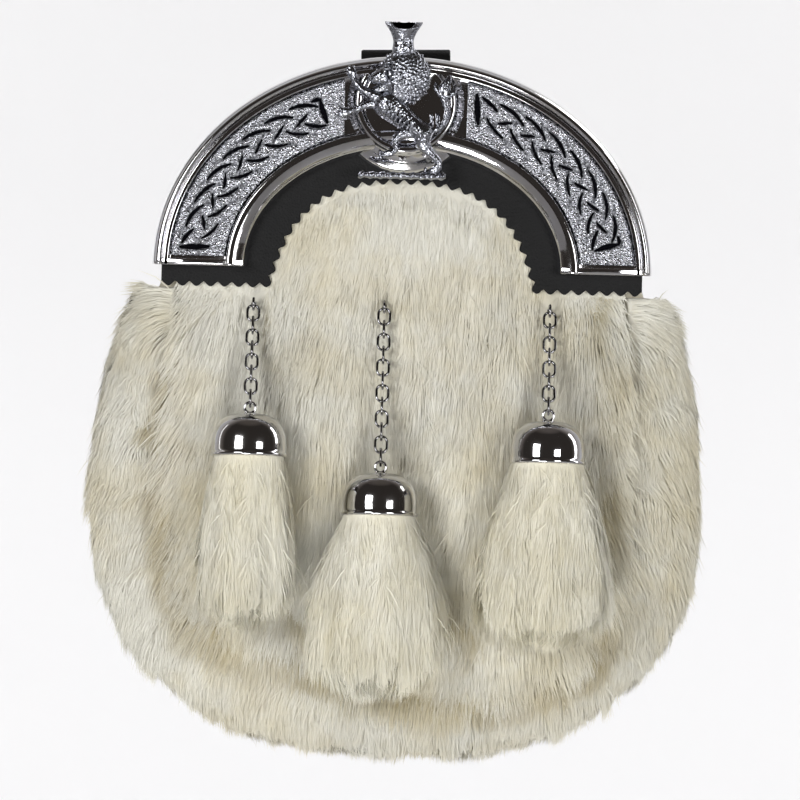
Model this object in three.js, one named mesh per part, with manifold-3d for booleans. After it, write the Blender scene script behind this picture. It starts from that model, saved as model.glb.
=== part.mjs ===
// Full-dress sporran pouch: a fur pouch under an arched chrome cantle, with two knotwork plaques,
// a cast badge and three fur tassels on chains.
// Millimetres, +Z up, the front faces -Y. The pouch is drawn with z = 0 at the feet of the cantle and
// y = 0 at the rear face of the back panel, then moved so that the origin is the middle of the gap in
// the hanger loop, where the waist strap carries it.
import * as THREE from "three";
import { mergeVertices } from "three/addons/utils/BufferGeometryUtils.js";
import Module from "manifold-3d";

const wasm = await Module();
wasm.setup();

// Shared fits
const GAP = 0.3;
const LEATHER = 2;

// Cantle: a band between two ellipses, drawn as (share, y), where share runs from the inner to the outer
const INNER_HALF_WIDTH = 51.5;
const INNER_HEIGHT = 39.5;
const BAND_WIDTH = 31.5;
const BAND_HEIGHT = 31.4;
const FACING_FRONT = -24.6;
const CANTLE_SEAT = FACING_FRONT - 3.4;
const CANTLE_SKIN = 1.6;
const CANTLE_INNER_EDGE = FACING_FRONT - GAP;
const CANTLE_REAR = -1.5;
const CANTLE_STEPS = 24;
const FOOT_PLATE = 2;

// Roundel in the middle of the cantle
const ROUNDEL_Z = 55.6;
const ROUNDEL_SIDES = 18;
const ROUNDEL_RISE = 3.6;
const ROUNDEL_LIMIT = 0.84;

// Knot plaques
const PLAQUE_INNER = 0.245;
const PLAQUE_OUTER = 0.805;
const PLAQUE_FOOT_Z = 3.2;
const PLAQUE_END_X = 20.4;
const PLAQUE_BASE = 1.1;
const PLAQUE_RELIEF = 0.9;

// Leather facing
const FACING_HALF_WIDTH = 80;
const FACING_HEIGHT = 67.8;
const FACING_THICK = 1.6;
const FACING_LOW = -5.4;
const TOOTH_PITCH = 4.7;
const TOOTH_DEPTH = 1.6;
const ARCH = { halfWidth: 40, flare: 5, top: 30, power: 2.5 };

// Pouch
const HIDE_TOP = -1;
const WIDEST_Z = -72;
const UPPER_SHARE = 0.3;
const OUTLINE_POWER = 2.5;
const OUTLINES = {
  backPanel: { top: 79, wide: 91, low: -150 },
  hideBack: { top: 76, wide: 88, low: -147 },
  hideBulge: { top: 78, wide: 94, low: -152 },
  hideSeam: { top: 73, wide: 75, low: -142 },
  furBack: { top: 82, wide: 97, low: -156 },
  furBulge: { top: 85, wide: 105, low: -163 },
  furSeam: { top: 77, wide: 77, low: -144 },
};
const GUSSET_GRID = [26, 4];
const PANEL_GRID = [10, 10];
const PANEL_TOP = 34;
const PANEL_ARCH_HEIGHT = 46;
const PANEL_END = 0.995;
const DEPTH_TOP = 18.4;
const DEPTH_GAIN = 6;
const DEPTH_FALL = 100;
const FLAT_TO = -9;
const PILLOW = 3.5;
const PILLOW_REACH = 50;
const PANEL_LEAST_HALF = 10;
const PANEL_LAST_Z = -135;
const FUR_DEEP = 8.5;
const FUR_THIN = 3.4;
const FUR_LEAST = 2;
const FUR_EDGE_SHARE = 0.35;
const FUR_SWELL = { above: 12, over: 36 };
const PRESS = { tassel: 6.3, tasselReach: 17, chain: 3.6, chainReach: 8, spare: 7 };
const FUR_CLEAR = 0.7;
const LOCK_LIFT = 2;
const LOCK_LONG = 0.8;
const LOCK_SHORT = 0.35;
const SLOT = { halfWidth: 60, high: -9, low: -19 };

// Hanger loop
const LOOP = { width: 30, gap: 6, outerHeight: 40, wall: 2, top: 74, tilt: 0.026 };
const HANG = { y: GAP + LOOP.wall + LOOP.gap / 2, z: LOOP.top - LOOP.outerHeight / 2 };

// Badge
const BADGE_REAR = CANTLE_SEAT - ROUNDEL_RISE - GAP;

// Tassels
const TASSELS = [
  { name: "left", x: -49, links: 8, wide: 37, long: 60, bellY: -44 },
  { name: "middle", x: -5.5, links: 12, wide: 47, long: 65, bellY: -44.5 },
  { name: "right", x: 49.5, links: 8, wide: 46, long: 64, bellY: -43.5 },
];
const EYELET_Z = -12.4;
const EYE = { radius: 1.8, wire: 0.5 };
const EYELET = { flange: 2.1, flangeThick: 0.9, stem: 0.85, hole: 2.7 };
const LINK = { halfWidth: 1.95, halfHeight: 2.8, wire: 0.45, pitch: 4.4 };
const LINK_HANG = LINK.halfHeight + EYE.radius - EYE.wire - LINK.wire - GAP;
const BELL = { radius: 12.4, height: 14.6, wall: 0.8, sides: 12 };
const BELL_SEAT = 1.7;
const TASSEL_HEAD_GAP = 3.4;
const TASSEL_LEAN = 0.09;

const MATERIALS = {
  chrome: new THREE.MeshStandardMaterial({ color: 0xc2c4ca, roughness: 0.14, metalness: 1 }),
  silver: new THREE.MeshStandardMaterial({ color: 0x9a9ba2, roughness: 0.38, metalness: 1 }),
  leather: new THREE.MeshStandardMaterial({ color: 0x1e1e1f, roughness: 0.5, metalness: 0 }),
  hide: new THREE.MeshStandardMaterial({ color: 0xcfc6ae, roughness: 0.9, metalness: 0 }),
  fur: new THREE.MeshStandardMaterial({ color: 0xe3ddc8, roughness: 0.95, metalness: 0 }),
};

const mix = (a, b, t) => a + (b - a) * t;
const clamp = (t) => Math.min(1, Math.max(0, t));
const smooth = (t) => Math.sin((Math.PI / 2) * clamp(t));
const ease = (t) => 0.5 - 0.5 * Math.cos(Math.PI * clamp(t));
const bell = (distance, reach) => Math.exp(-((distance / reach) ** 2));
const point = (x, y, z) => new THREE.Vector3(x, y, z);

// One closed surface with shared corners and its faces pointing out.
function closed(geometry) {
  const plain = new THREE.BufferGeometry();
  plain.setAttribute("position", geometry.getAttribute("position").clone());
  plain.setIndex(geometry.index);
  const merged = mergeVertices(plain, 1e-3);
  const corners = merged.getAttribute("position");
  const index = merged.index.array;
  const faces = [];
  let volume = 0;
  for (let i = 0; i < index.length; i += 3) {
    const [a, b, c] = [index[i], index[i + 1], index[i + 2]];
    if (a === b || b === c || c === a) continue;
    faces.push(a, b, c);
    const [p, q, r] = [a, b, c].map((k) => new THREE.Vector3().fromBufferAttribute(corners, k));
    volume += p.dot(q.cross(r));
  }
  if (volume < 0) faces.reverse();
  merged.setIndex(faces);
  return merged;
}

function solidOf(geometry) {
  const surface = closed(geometry);
  return new wasm.Manifold(
    new wasm.Mesh({
      numProp: 3,
      vertProperties: surface.getAttribute("position").array,
      triVerts: new Uint32Array(surface.index.array),
    }),
  );
}

function geometryOf(solid) {
  const mesh = solid.getMesh();
  const corners = new Float32Array(mesh.numVert * 3);
  for (let i = 0; i < mesh.numVert; i++) {
    const start = i * mesh.numProp;
    corners.set(mesh.vertProperties.subarray(start, start + 3), i * 3);
  }
  const geometry = new THREE.BufferGeometry();
  geometry.setAttribute("position", new THREE.BufferAttribute(corners, 3));
  geometry.setIndex(new THREE.BufferAttribute(mesh.triVerts, 1));
  return geometry;
}

const join = (...pieces) => geometryOf(pieces.map(solidOf).reduce((whole, piece) => whole.add(piece)));
const cut = (piece, tool) => geometryOf(solidOf(piece).subtract(solidOf(tool)));
const common = (piece, limit) => geometryOf(solidOf(piece).intersect(solidOf(limit)));

function meshOf(name, geometry, material) {
  const surface = closed(geometry).toNonIndexed();
  surface.computeVertexNormals();
  const mesh = new THREE.Mesh(surface, material);
  mesh.name = name;
  return mesh;
}

// Faces between corners given by number, from a list of points.
function fromFaces(points, faces) {
  const geometry = new THREE.BufferGeometry();
  geometry.setFromPoints(points);
  geometry.setIndex(faces);
  return geometry;
}

// A wall between two surfaces on the same grid, closed along its four edges.
function wall(columns, rows, outer, inner) {
  const across = columns + 1;
  const layer = across * (rows + 1);
  const points = [];
  for (const surface of [outer, inner]) {
    for (let j = 0; j <= rows; j++) {
      for (let i = 0; i <= columns; i++) points.push(surface(i / columns, j / rows, i, j));
    }
  }
  const faces = [];
  const quad = (a, b, c, d) => faces.push(a, b, c, a, c, d);
  const at = (i, j) => j * across + i;
  for (let j = 0; j < rows; j++) {
    for (let i = 0; i < columns; i++) {
      const [a, b, c, d] = [at(i, j), at(i + 1, j), at(i + 1, j + 1), at(i, j + 1)];
      quad(a, b, c, d);
      quad(layer + c, layer + b, layer + a, layer + d);
    }
  }
  const edge = (a, b) => quad(b, a, layer + a, layer + b);
  for (let i = 0; i < columns; i++) {
    edge(at(i, 0), at(i + 1, 0));
    edge(at(i + 1, rows), at(i, rows));
  }
  for (let j = 0; j < rows; j++) {
    edge(at(0, j + 1), at(0, j));
    edge(at(columns, j), at(columns, j + 1));
  }
  return fromFaces(points, faces);
}

// A body skinned over rings of equal count, with flat ends.
function skinned(rings) {
  const sides = rings[0].length;
  const points = rings.flat();
  const faces = [];
  for (let j = 0; j < rings.length - 1; j++) {
    for (let i = 0; i < sides; i++) {
      const next = (i + 1) % sides;
      const [a, b, c, d] = [j * sides + i, j * sides + next, (j + 1) * sides + next, (j + 1) * sides + i];
      faces.push(a, b, c, a, c, d);
    }
  }
  for (const [ring, turned] of [[0, true], [rings.length - 1, false]]) {
    const middle = rings[ring].reduce((sum, p) => sum.add(p), point(0, 0, 0)).divideScalar(sides);
    points.push(middle);
    for (let i = 0; i < sides; i++) {
      const pair = [ring * sides + i, ring * sides + ((i + 1) % sides)];
      if (turned) pair.reverse();
      faces.push(pair[0], pair[1], points.length - 1);
    }
  }
  return fromFaces(points, faces);
}

// A flat plate with its outline in x and z, from its rear face forwards.
function plate(shape, rear, thickness) {
  const geometry = new THREE.ExtrudeGeometry(shape, { depth: thickness, bevelEnabled: false });
  geometry.rotateX(Math.PI / 2);
  geometry.translate(0, rear, 0);
  return geometry;
}

const shapeOf = (outline) => new THREE.Shape(outline.map(([x, z]) => new THREE.Vector2(x, z)));

// A point of the cantle's band: the angle runs from the right foot over the crest to the left foot.
function bandPoint(angle, share) {
  const halfWidth = INNER_HALF_WIDTH + BAND_WIDTH * share;
  const height = INNER_HEIGHT + BAND_HEIGHT * share;
  return [halfWidth * Math.cos(angle), height * Math.sin(angle)];
}

function cantleBand() {
  const section = [
    { share: 1, rise: CANTLE_SEAT - CANTLE_REAR },
    { share: 0.995, rise: -2.5 },
    { share: 0.97, rise: 2 },
    { share: 0.925, rise: 3.6 },
    { share: 0.885, rise: 2.5 },
    { share: 0.825, rise: 2.4 },
    { share: 0.815, rise: 0 },
    { share: 0.235, rise: 0 },
    { share: 0.225, rise: 2.4 },
    { share: 0.13, rise: 2.9 },
    { share: 0.04, rise: 1 },
    { share: 0, rise: CANTLE_SEAT - CANTLE_INNER_EDGE },
    { share: 0.055, rise: CANTLE_SEAT - CANTLE_INNER_EDGE },
    { share: 0.08, rise: -CANTLE_SKIN },
    { share: 0.93, rise: -CANTLE_SKIN },
    { share: 0.945, rise: CANTLE_SEAT - CANTLE_REAR },
  ];
  const rings = [];
  for (let i = 0; i <= CANTLE_STEPS; i++) {
    const angle = (Math.PI * i) / CANTLE_STEPS;
    rings.push(
      section.map(({ share, rise }) => {
        const [x, z] = bandPoint(angle, share);
        return point(x, CANTLE_SEAT - rise, z);
      }),
    );
  }
  return endedStrip(rings);
}

// A swept section whose two ends are closed by the section's own flat outline.
function endedStrip(rings) {
  const sides = rings[0].length;
  const points = rings.flat();
  const faces = [];
  for (let j = 0; j < rings.length - 1; j++) {
    for (let i = 0; i < sides; i++) {
      const next = (i + 1) % sides;
      const [a, b, c, d] = [j * sides + i, j * sides + next, (j + 1) * sides + next, (j + 1) * sides + i];
      faces.push(a, b, c, a, c, d);
    }
  }
  const flat = rings[0].map((p) => new THREE.Vector2(p.x, p.y));
  const last = (rings.length - 1) * sides;
  const { area, triangulateShape } = THREE.ShapeUtils;
  for (const corners of triangulateShape(flat, [])) {
    const sameWay = area(corners.map((k) => flat[k])) * area(flat) > 0;
    const [a, b, c] = sameWay ? corners : [...corners].reverse();
    faces.push(c, b, a, last + a, last + b, last + c);
  }
  return fromFaces(points, faces);
}

function footPlate(side) {
  const width = BAND_WIDTH - 2;
  const depth = CANTLE_INNER_EDGE - CANTLE_SEAT - 0.4;
  const geometry = new THREE.BoxGeometry(width, depth, FOOT_PLATE);
  const x = side * (INNER_HALF_WIDTH + BAND_WIDTH / 2);
  geometry.translate(x, CANTLE_INNER_EDGE - depth / 2, FOOT_PLATE / 2);
  return geometry;
}

// A body turned round the y axis: the profile is (radius, y).
const lathe = (profile, sides) =>
  new THREE.LatheGeometry(profile.map(([r, y]) => new THREE.Vector2(r, y)), sides);

function roundel() {
  const profile = [
    { radius: 0, rise: 2.4 },
    { radius: 14.2, rise: 2.4 },
    { radius: 14.9, rise: ROUNDEL_RISE },
    { radius: 16.4, rise: ROUNDEL_RISE },
    { radius: 19.4, rise: -0.15 },
    { radius: 24, rise: CANTLE_SEAT - CANTLE_INNER_EDGE },
    { radius: 22.4, rise: CANTLE_SEAT - CANTLE_INNER_EDGE },
    { radius: 21, rise: -CANTLE_SKIN },
    { radius: 0, rise: -CANTLE_SKIN },
  ];
  const disc = lathe(profile.map(({ radius, rise }) => [radius, CANTLE_SEAT - rise]), ROUNDEL_SIDES);
  disc.translate(0, 0, ROUNDEL_Z);
  const limit = [];
  for (let i = 0; i <= ROUNDEL_SIDES; i++) {
    limit.push(bandPoint((Math.PI * i) / ROUNDEL_SIDES, ROUNDEL_LIMIT));
  }
  return common(disc, plate(shapeOf(limit), 0, 40));
}

function cantle() {
  return join(cantleBand(), roundel(), footPlate(1), footPlate(-1));
}

// A point of the right plaque: along from its foot to its end by the roundel, across from inside out.
function plaquePoint(along, across) {
  const share = mix(PLAQUE_INNER, PLAQUE_OUTER, across);
  const start = Math.asin(PLAQUE_FOOT_Z / (INNER_HEIGHT + BAND_HEIGHT * share));
  const end = Math.acos(PLAQUE_END_X / (INNER_HALF_WIDTH + BAND_WIDTH * share));
  return bandPoint(mix(start, end, along), share);
}

// The gaps of a four-strand plait, as shares along and across the plaque: long slanted crescents inside
// the turns at both edges, short slits the other way between them, and a bar at either end.
const PLAIT_PITCH = 0.1075;
const OUTER_CRESCENT = [[0, 0.87], [0.045, 0.83], [0.108, 0.64], [0.095, 0.6], [0.035, 0.76], [0, 0.8]];
const INNER_CRESCENT = [[0, 0.43], [0.015, 0.42], [0.055, 0.32], [0.105, 0.25], [0.1, 0.205], [0.04, 0.26]];
const MIDDLE_SLIT = [[0, 0.5], [0.048, 0.61], [0.056, 0.565], [0.006, 0.455]];
const PLAIT_GAPS = [
  { count: 7, start: 0.13, points: OUTER_CRESCENT },
  { count: 7, start: 0.136, points: MIDDLE_SLIT },
  { count: 7, start: 0.075, points: INNER_CRESCENT },
  { count: 1, start: 0, points: [[0.035, 0.86], [0.06, 0.84], [0.058, 0.3], [0.038, 0.31]] },
  { count: 1, start: 0, points: [[0.075, 0.81], [0.116, 0.7], [0.104, 0.65], [0.072, 0.76]] },
  { count: 1, start: 0, points: [[0.897, 0.8], [0.93, 0.8], [0.94, 0.22], [0.9, 0.24]] },
];

function plaqueOutline() {
  const steps = 11;
  const outline = [];
  for (let i = 0; i <= steps; i++) outline.push(plaquePoint(i / steps, 0));
  for (let i = steps; i >= 0; i--) outline.push(plaquePoint(i / steps, 1));
  return shapeOf(outline);
}

// The two plaques are one casting turned round the arch, so the plait runs on from foot to foot.
function plaque(side) {
  const openwork = plaqueOutline();
  for (const { count, start, points } of PLAIT_GAPS) {
    for (let k = 0; k < count; k++) {
      const hole = points.map(([p, across]) => {
        const along = start + k * PLAIT_PITCH + p;
        return new THREE.Vector2(...plaquePoint(side > 0 ? 1 - along : along, across));
      });
      if (side > 0) hole.reverse();
      openwork.holes.push(new THREE.Path(hole));
    }
  }
  const rear = CANTLE_SEAT - GAP;
  const sunk = PLAQUE_BASE - 0.2;
  const base = plate(plaqueOutline(), rear, PLAQUE_BASE);
  const strands = plate(openwork, rear - sunk, PLAQUE_RELIEF + 0.2);
  const piece = join(base, strands);
  if (side < 0) piece.scale(-1, 1, 1);
  return piece;
}

// The arch of fur inside the facing, from its right foot (0) over the top to its left foot (1). It
// flares a little towards its feet.
function archPoint(t) {
  const angle = Math.PI * t;
  const power = 2 / ARCH.power;
  const rise = Math.sin(angle) ** power;
  const reach = ARCH.halfWidth * Math.abs(Math.cos(angle)) ** power + ARCH.flare * (1 - rise) ** 2;
  return [Math.sign(Math.cos(angle)) * reach, FACING_LOW + (ARCH.top - FACING_LOW) * rise];
}

// A pinked edge: points along a path, every second one pushed out by a tooth.
function pinked(path) {
  const line = new THREE.CurvePath();
  for (let i = 0; i + 1 < path.length; i++) {
    line.add(new THREE.LineCurve(new THREE.Vector2(...path[i]), new THREE.Vector2(...path[i + 1])));
  }
  const teeth = Math.round(line.getLength() / TOOTH_PITCH);
  const edge = [];
  for (let i = 1; i < 2 * teeth; i++) {
    const t = i / (2 * teeth);
    const here = line.getPointAt(t);
    const ahead = line.getPointAt(Math.min(1, t + 0.01));
    const behind = line.getPointAt(Math.max(0, t - 0.01));
    const along = ahead.sub(behind).normalize();
    const out = i % 2 ? TOOTH_DEPTH : 0;
    edge.push([here.x - along.y * out, here.y + along.x * out]);
  }
  return edge;
}

function facingOutline() {
  const steps = 16;
  const outline = [];
  for (let i = 0; i <= steps; i++) {
    const angle = (Math.PI * i) / steps;
    outline.push([FACING_HALF_WIDTH * Math.cos(angle), FACING_HEIGHT * Math.sin(angle)]);
  }
  const left = [-FACING_HALF_WIDTH, FACING_LOW];
  const right = [FACING_HALF_WIDTH, FACING_LOW];
  const arch = [];
  for (let i = 0; i <= 40; i++) arch.push(archPoint(1 - i / 40));
  outline.push(left, ...pinked([left, arch[0]]).map(([x, z]) => [x, 2 * FACING_LOW - z]));
  outline.push(arch[0], ...pinked(arch), arch[40]);
  outline.push(...pinked([arch[40], right]).map(([x, z]) => [x, 2 * FACING_LOW - z]), right);
  return shapeOf(outline);
}

function leatherFacing() {
  return plate(facingOutline(), FACING_FRONT + FACING_THICK, FACING_THICK);
}

// A point of a half outline of the pouch: turn -1 is the left foot, 0 the bottom, 1 the right foot.
function outlinePoint({ top, wide, low }, turn, limit) {
  const side = turn < 0 ? -1 : 1;
  const down = 1 - Math.abs(turn);
  if (down < UPPER_SHARE) {
    const z = Math.min(limit, mix(HIDE_TOP, WIDEST_Z, down / UPPER_SHARE));
    return [side * (wide - (wide - top) * ((z - WIDEST_Z) / WIDEST_Z) ** 2), z];
  }
  const angle = ((down - UPPER_SHARE) / (1 - UPPER_SHARE)) * (Math.PI / 2);
  const x = wide * Math.max(0, Math.cos(angle)) ** (2 / OUTLINE_POWER);
  return [side * x, WIDEST_Z - (WIDEST_Z - low) * Math.sin(angle) ** (2 / OUTLINE_POWER)];
}

// Half width of an outline at a height, with an arch above the feet.
function halfWidthAt({ top, wide, low }, z) {
  if (z > 0) return top * Math.sqrt(1 - (z / PANEL_ARCH_HEIGHT) ** 2);
  if (z > WIDEST_Z) return wide - (wide - top) * ((z - WIDEST_Z) / WIDEST_Z) ** 2;
  const share = (WIDEST_Z - z) / (WIDEST_Z - low);
  return wide * (1 - share ** OUTLINE_POWER) ** (1 / OUTLINE_POWER);
}

const inset = ({ top, wide, low }, by) => ({ top: top - by, wide: wide - by, low: low + by });
const depthAt = (z) => DEPTH_TOP + DEPTH_GAIN * ease((FLAT_TO - z) / DEPTH_FALL);

// The gusset's skin: across runs from the back edge over the bulge to the front seam.
function gussetPoint(skin, turn, across, limit, swell) {
  const [backX, backZ] = outlinePoint(skin.back, turn, limit);
  const [bulgeX, bulgeZ] = outlinePoint(skin.bulge, turn, limit);
  const [seamX, seamZ] = outlinePoint(skin.seam, turn, limit);
  const out = Math.max(0, Math.sin(Math.PI * across)) ** 0.8 * (1 + swell);
  const x = mix(mix(backX, seamX, across), bulgeX, out);
  const z = mix(mix(backZ, seamZ, across), bulgeZ, out);
  const front = -depthAt(seamZ) - skin.frontExtra;
  return point(x, mix(skin.rear, front, across), z);
}

function gussetWall() {
  const rear = -LEATHER - GAP;
  const skin = {
    back: OUTLINES.hideBack,
    bulge: OUTLINES.hideBulge,
    seam: OUTLINES.hideSeam,
    rear,
    frontExtra: -GAP,
  };
  const lining = {
    ...skin,
    back: inset(skin.back, LEATHER),
    bulge: inset(skin.bulge, LEATHER),
    seam: inset(skin.seam, LEATHER),
  };
  return wall(
    ...GUSSET_GRID,
    (u, v) => gussetPoint(skin, 2 * u - 1, v, HIDE_TOP, 0),
    (u, v) => gussetPoint(lining, 2 * u - 1, v, HIDE_TOP, 0),
  );
}

// Height of a row of the front panel, from its top to just above its lowest point.
const panelZ = (low, v) => mix(PANEL_TOP, low, PANEL_END * smooth(v * 0.98));

// The outer face of the front panel's hide.
function wallFront(x, z) {
  const half = Math.max(PANEL_LEAST_HALF, halfWidthAt(OUTLINES.hideSeam, Math.max(z, PANEL_LAST_Z)));
  const pillow = PILLOW * (1 - Math.min(1, (x / half) ** 2)) * ease((FLAT_TO - z) / PILLOW_REACH);
  return -depthAt(z) - GAP - LEATHER - pillow;
}

function frontWall() {
  const outline = OUTLINES.hideSeam;
  const surface = (offset) => (u, v) => {
    const z = panelZ(outline.low, v);
    const x = (2 * u - 1) * halfWidthAt(outline, z);
    return point(x, wallFront(x, z) + offset, z);
  };
  return wall(...PANEL_GRID, surface(0), surface(LEATHER));
}

// Fur is pressed thin under the facing, the chains, the caps and the tassels.
function furDepth(x, z) {
  let pressed = 0;
  for (const { x: middle, long, links } of TASSELS) {
    const capTop = EYELET_Z - links * LINK.pitch;
    const behindTassel = z < capTop + PRESS.spare && z > capTop - BELL.height - long;
    const behindChain = z < EYELET_Z + PRESS.spare;
    if (behindTassel) pressed = Math.max(pressed, PRESS.tassel * bell(x - middle, PRESS.tasselReach));
    if (behindChain) pressed = Math.max(pressed, PRESS.chain * bell(x - middle, PRESS.chainReach));
  }
  const deep = mix(FUR_THIN, FUR_DEEP, smooth((FACING_LOW + FUR_SWELL.above - z) / FUR_SWELL.over));
  return Math.max(FUR_LEAST, deep - pressed);
}

const furFrontY = (x, z) => wallFront(x, z) - GAP - furDepth(x, z);

// The front fur: strips of locks, each strip's hem standing off the next and cut into points.
function furFront() {
  const outline = OUTLINES.hideSeam;
  const [columns, rows] = PANEL_GRID;
  const outer = (u, v, i, j) => {
    const hem = j % 2 === 1;
    const drop = hem ? (i % 2 ? LOCK_LONG : LOCK_SHORT) : 0;
    const z = panelZ(outline.low, (j + drop) / rows);
    const x = (2 * u - 1) * halfWidthAt(outline, z);
    const deep = furDepth(x, z) * (i === 0 || i === columns ? FUR_EDGE_SHARE : 1);
    const lift = hem ? LOCK_LIFT * (deep / FUR_DEEP) : 0;
    return point(x, wallFront(x, z) - GAP - deep - lift, z);
  };
  const inner = (u, v) => {
    const z = panelZ(outline.low, v);
    const x = (2 * u - 1) * halfWidthAt(outline, z);
    return point(x, wallFront(x, z) - GAP, z);
  };
  let fur = wall(columns, rows, outer, inner);
  fur = cut(fur, facingClearance());
  for (const { x } of TASSELS) fur = cut(fur, eyeletHole(x));
  return fur;
}

// Everything in front of the hide that the facing and its teeth need.
function facingClearance() {
  const spare = TOOTH_DEPTH + 0.6;
  const shape = [];
  for (let i = 0; i <= 12; i++) {
    const [x, z] = archPoint(1 - i / 12);
    shape.push([x * (1 - spare / ARCH.halfWidth), z - spare]);
  }
  const low = FACING_LOW - spare;
  shape.push([100, low], [100, 90], [-100, 90], [-100, low]);
  return plate(shapeOf(shape), FACING_FRONT + FACING_THICK + GAP, 40);
}

function eyeletHole(x) {
  const depth = 40;
  const hole = new THREE.CylinderGeometry(EYELET.hole, EYELET.hole, depth, 8);
  hole.translate(x, wallFront(x, EYELET_Z) - depth / 2, EYELET_Z);
  return hole;
}

// The gusset's fur: locks in columns round the pouch, every second one proud of its neighbours.
function furGusset() {
  const skin = {
    back: OUTLINES.furBack,
    bulge: OUTLINES.furBulge,
    seam: OUTLINES.furSeam,
    rear: -0.6,
    frontExtra: 6,
  };
  const lining = {
    back: inset(OUTLINES.backPanel, -FUR_CLEAR),
    bulge: inset(OUTLINES.hideBulge, -FUR_CLEAR),
    seam: inset(OUTLINES.hideSeam, -FUR_CLEAR),
    rear: -LEATHER - GAP,
    frontExtra: 0.5,
  };
  const top = FACING_LOW - TOOTH_DEPTH - 0.9;
  return wall(
    ...GUSSET_GRID,
    (u, v, i, j) => gussetPoint(skin, 2 * u - 1, v, top, (i + j) % 2 ? 0.14 : -0.06),
    (u, v) => gussetPoint(lining, 2 * u - 1, v, top, 0),
  );
}

function backPanel() {
  const steps = 14;
  const outline = [];
  for (let i = 0; i <= steps; i++) {
    const angle = (Math.PI * i) / steps;
    outline.push([OUTLINES.backPanel.top * Math.cos(angle), (FACING_HEIGHT - 0.6) * Math.sin(angle)]);
  }
  for (let i = 0; i <= 2 * steps; i++) outline.push(outlinePoint(OUTLINES.backPanel, i / steps - 1, 0));
  const shape = shapeOf(outline);
  const slot = [];
  const radius = (SLOT.high - SLOT.low) / 2;
  const middle = (SLOT.high + SLOT.low) / 2;
  for (let i = 0; i < 12; i++) {
    const angle = ((i + 0.5) * Math.PI) / 6;
    const centre = Math.sign(Math.cos(angle)) * (SLOT.halfWidth - radius);
    slot.push(new THREE.Vector2(centre + radius * Math.cos(angle), middle + radius * Math.sin(angle)));
  }
  shape.holes.push(new THREE.Path(slot));
  return plate(shape, 0, LEATHER);
}

// The hanger loop: a closed band of leather with rounded folds, drawn in y and z and extruded along x.
function hangerLoop() {
  const band = (depth, height) => {
    const outline = [];
    const radius = depth / 2;
    for (let i = 0; i < 8; i++) {
      const angle = ((i + 0.5) * Math.PI) / 4;
      const side = Math.sign(Math.sin(angle));
      const reach = height / 2 - radius;
      outline.push(new THREE.Vector2(radius * Math.cos(angle), side * reach + radius * Math.sin(angle)));
    }
    return outline;
  };
  const shape = new THREE.Shape(band(LOOP.gap + 2 * LOOP.wall, LOOP.outerHeight));
  shape.holes.push(new THREE.Path(band(LOOP.gap, LOOP.outerHeight - 2 * LOOP.wall)));
  const geometry = new THREE.ExtrudeGeometry(shape, { depth: LOOP.width, bevelEnabled: false });
  geometry.translate(0, 0, -LOOP.width / 2);
  geometry.rotateY(Math.PI / 2);
  geometry.rotateX(Math.PI / 2);
  return geometry;
}

// A limb of the badge: rows give its middle, its half width, its half depth and its lift off the back.
function limb(rows, sides = 4) {
  const rings = rows.map(({ x, z, wide, deep, lift }, k) => {
    const before = rows[Math.max(0, k - 1)];
    const after = rows[Math.min(rows.length - 1, k + 1)];
    const along = new THREE.Vector2(after.x - before.x, after.z - before.z).normalize();
    const ring = [];
    for (let i = 0; i < sides; i++) {
      const angle = ((i + 0.5) * 2 * Math.PI) / sides;
      const out = wide * Math.cos(angle);
      ring.push(
        point(x - along.y * out, BADGE_REAR - lift - deep * Math.sin(angle), z + along.x * out),
      );
    }
    return ring;
  });
  return skinned(rings);
}

const row = (x, z, wide, deep, lift) => ({ x, z, wide, deep, lift });

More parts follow.
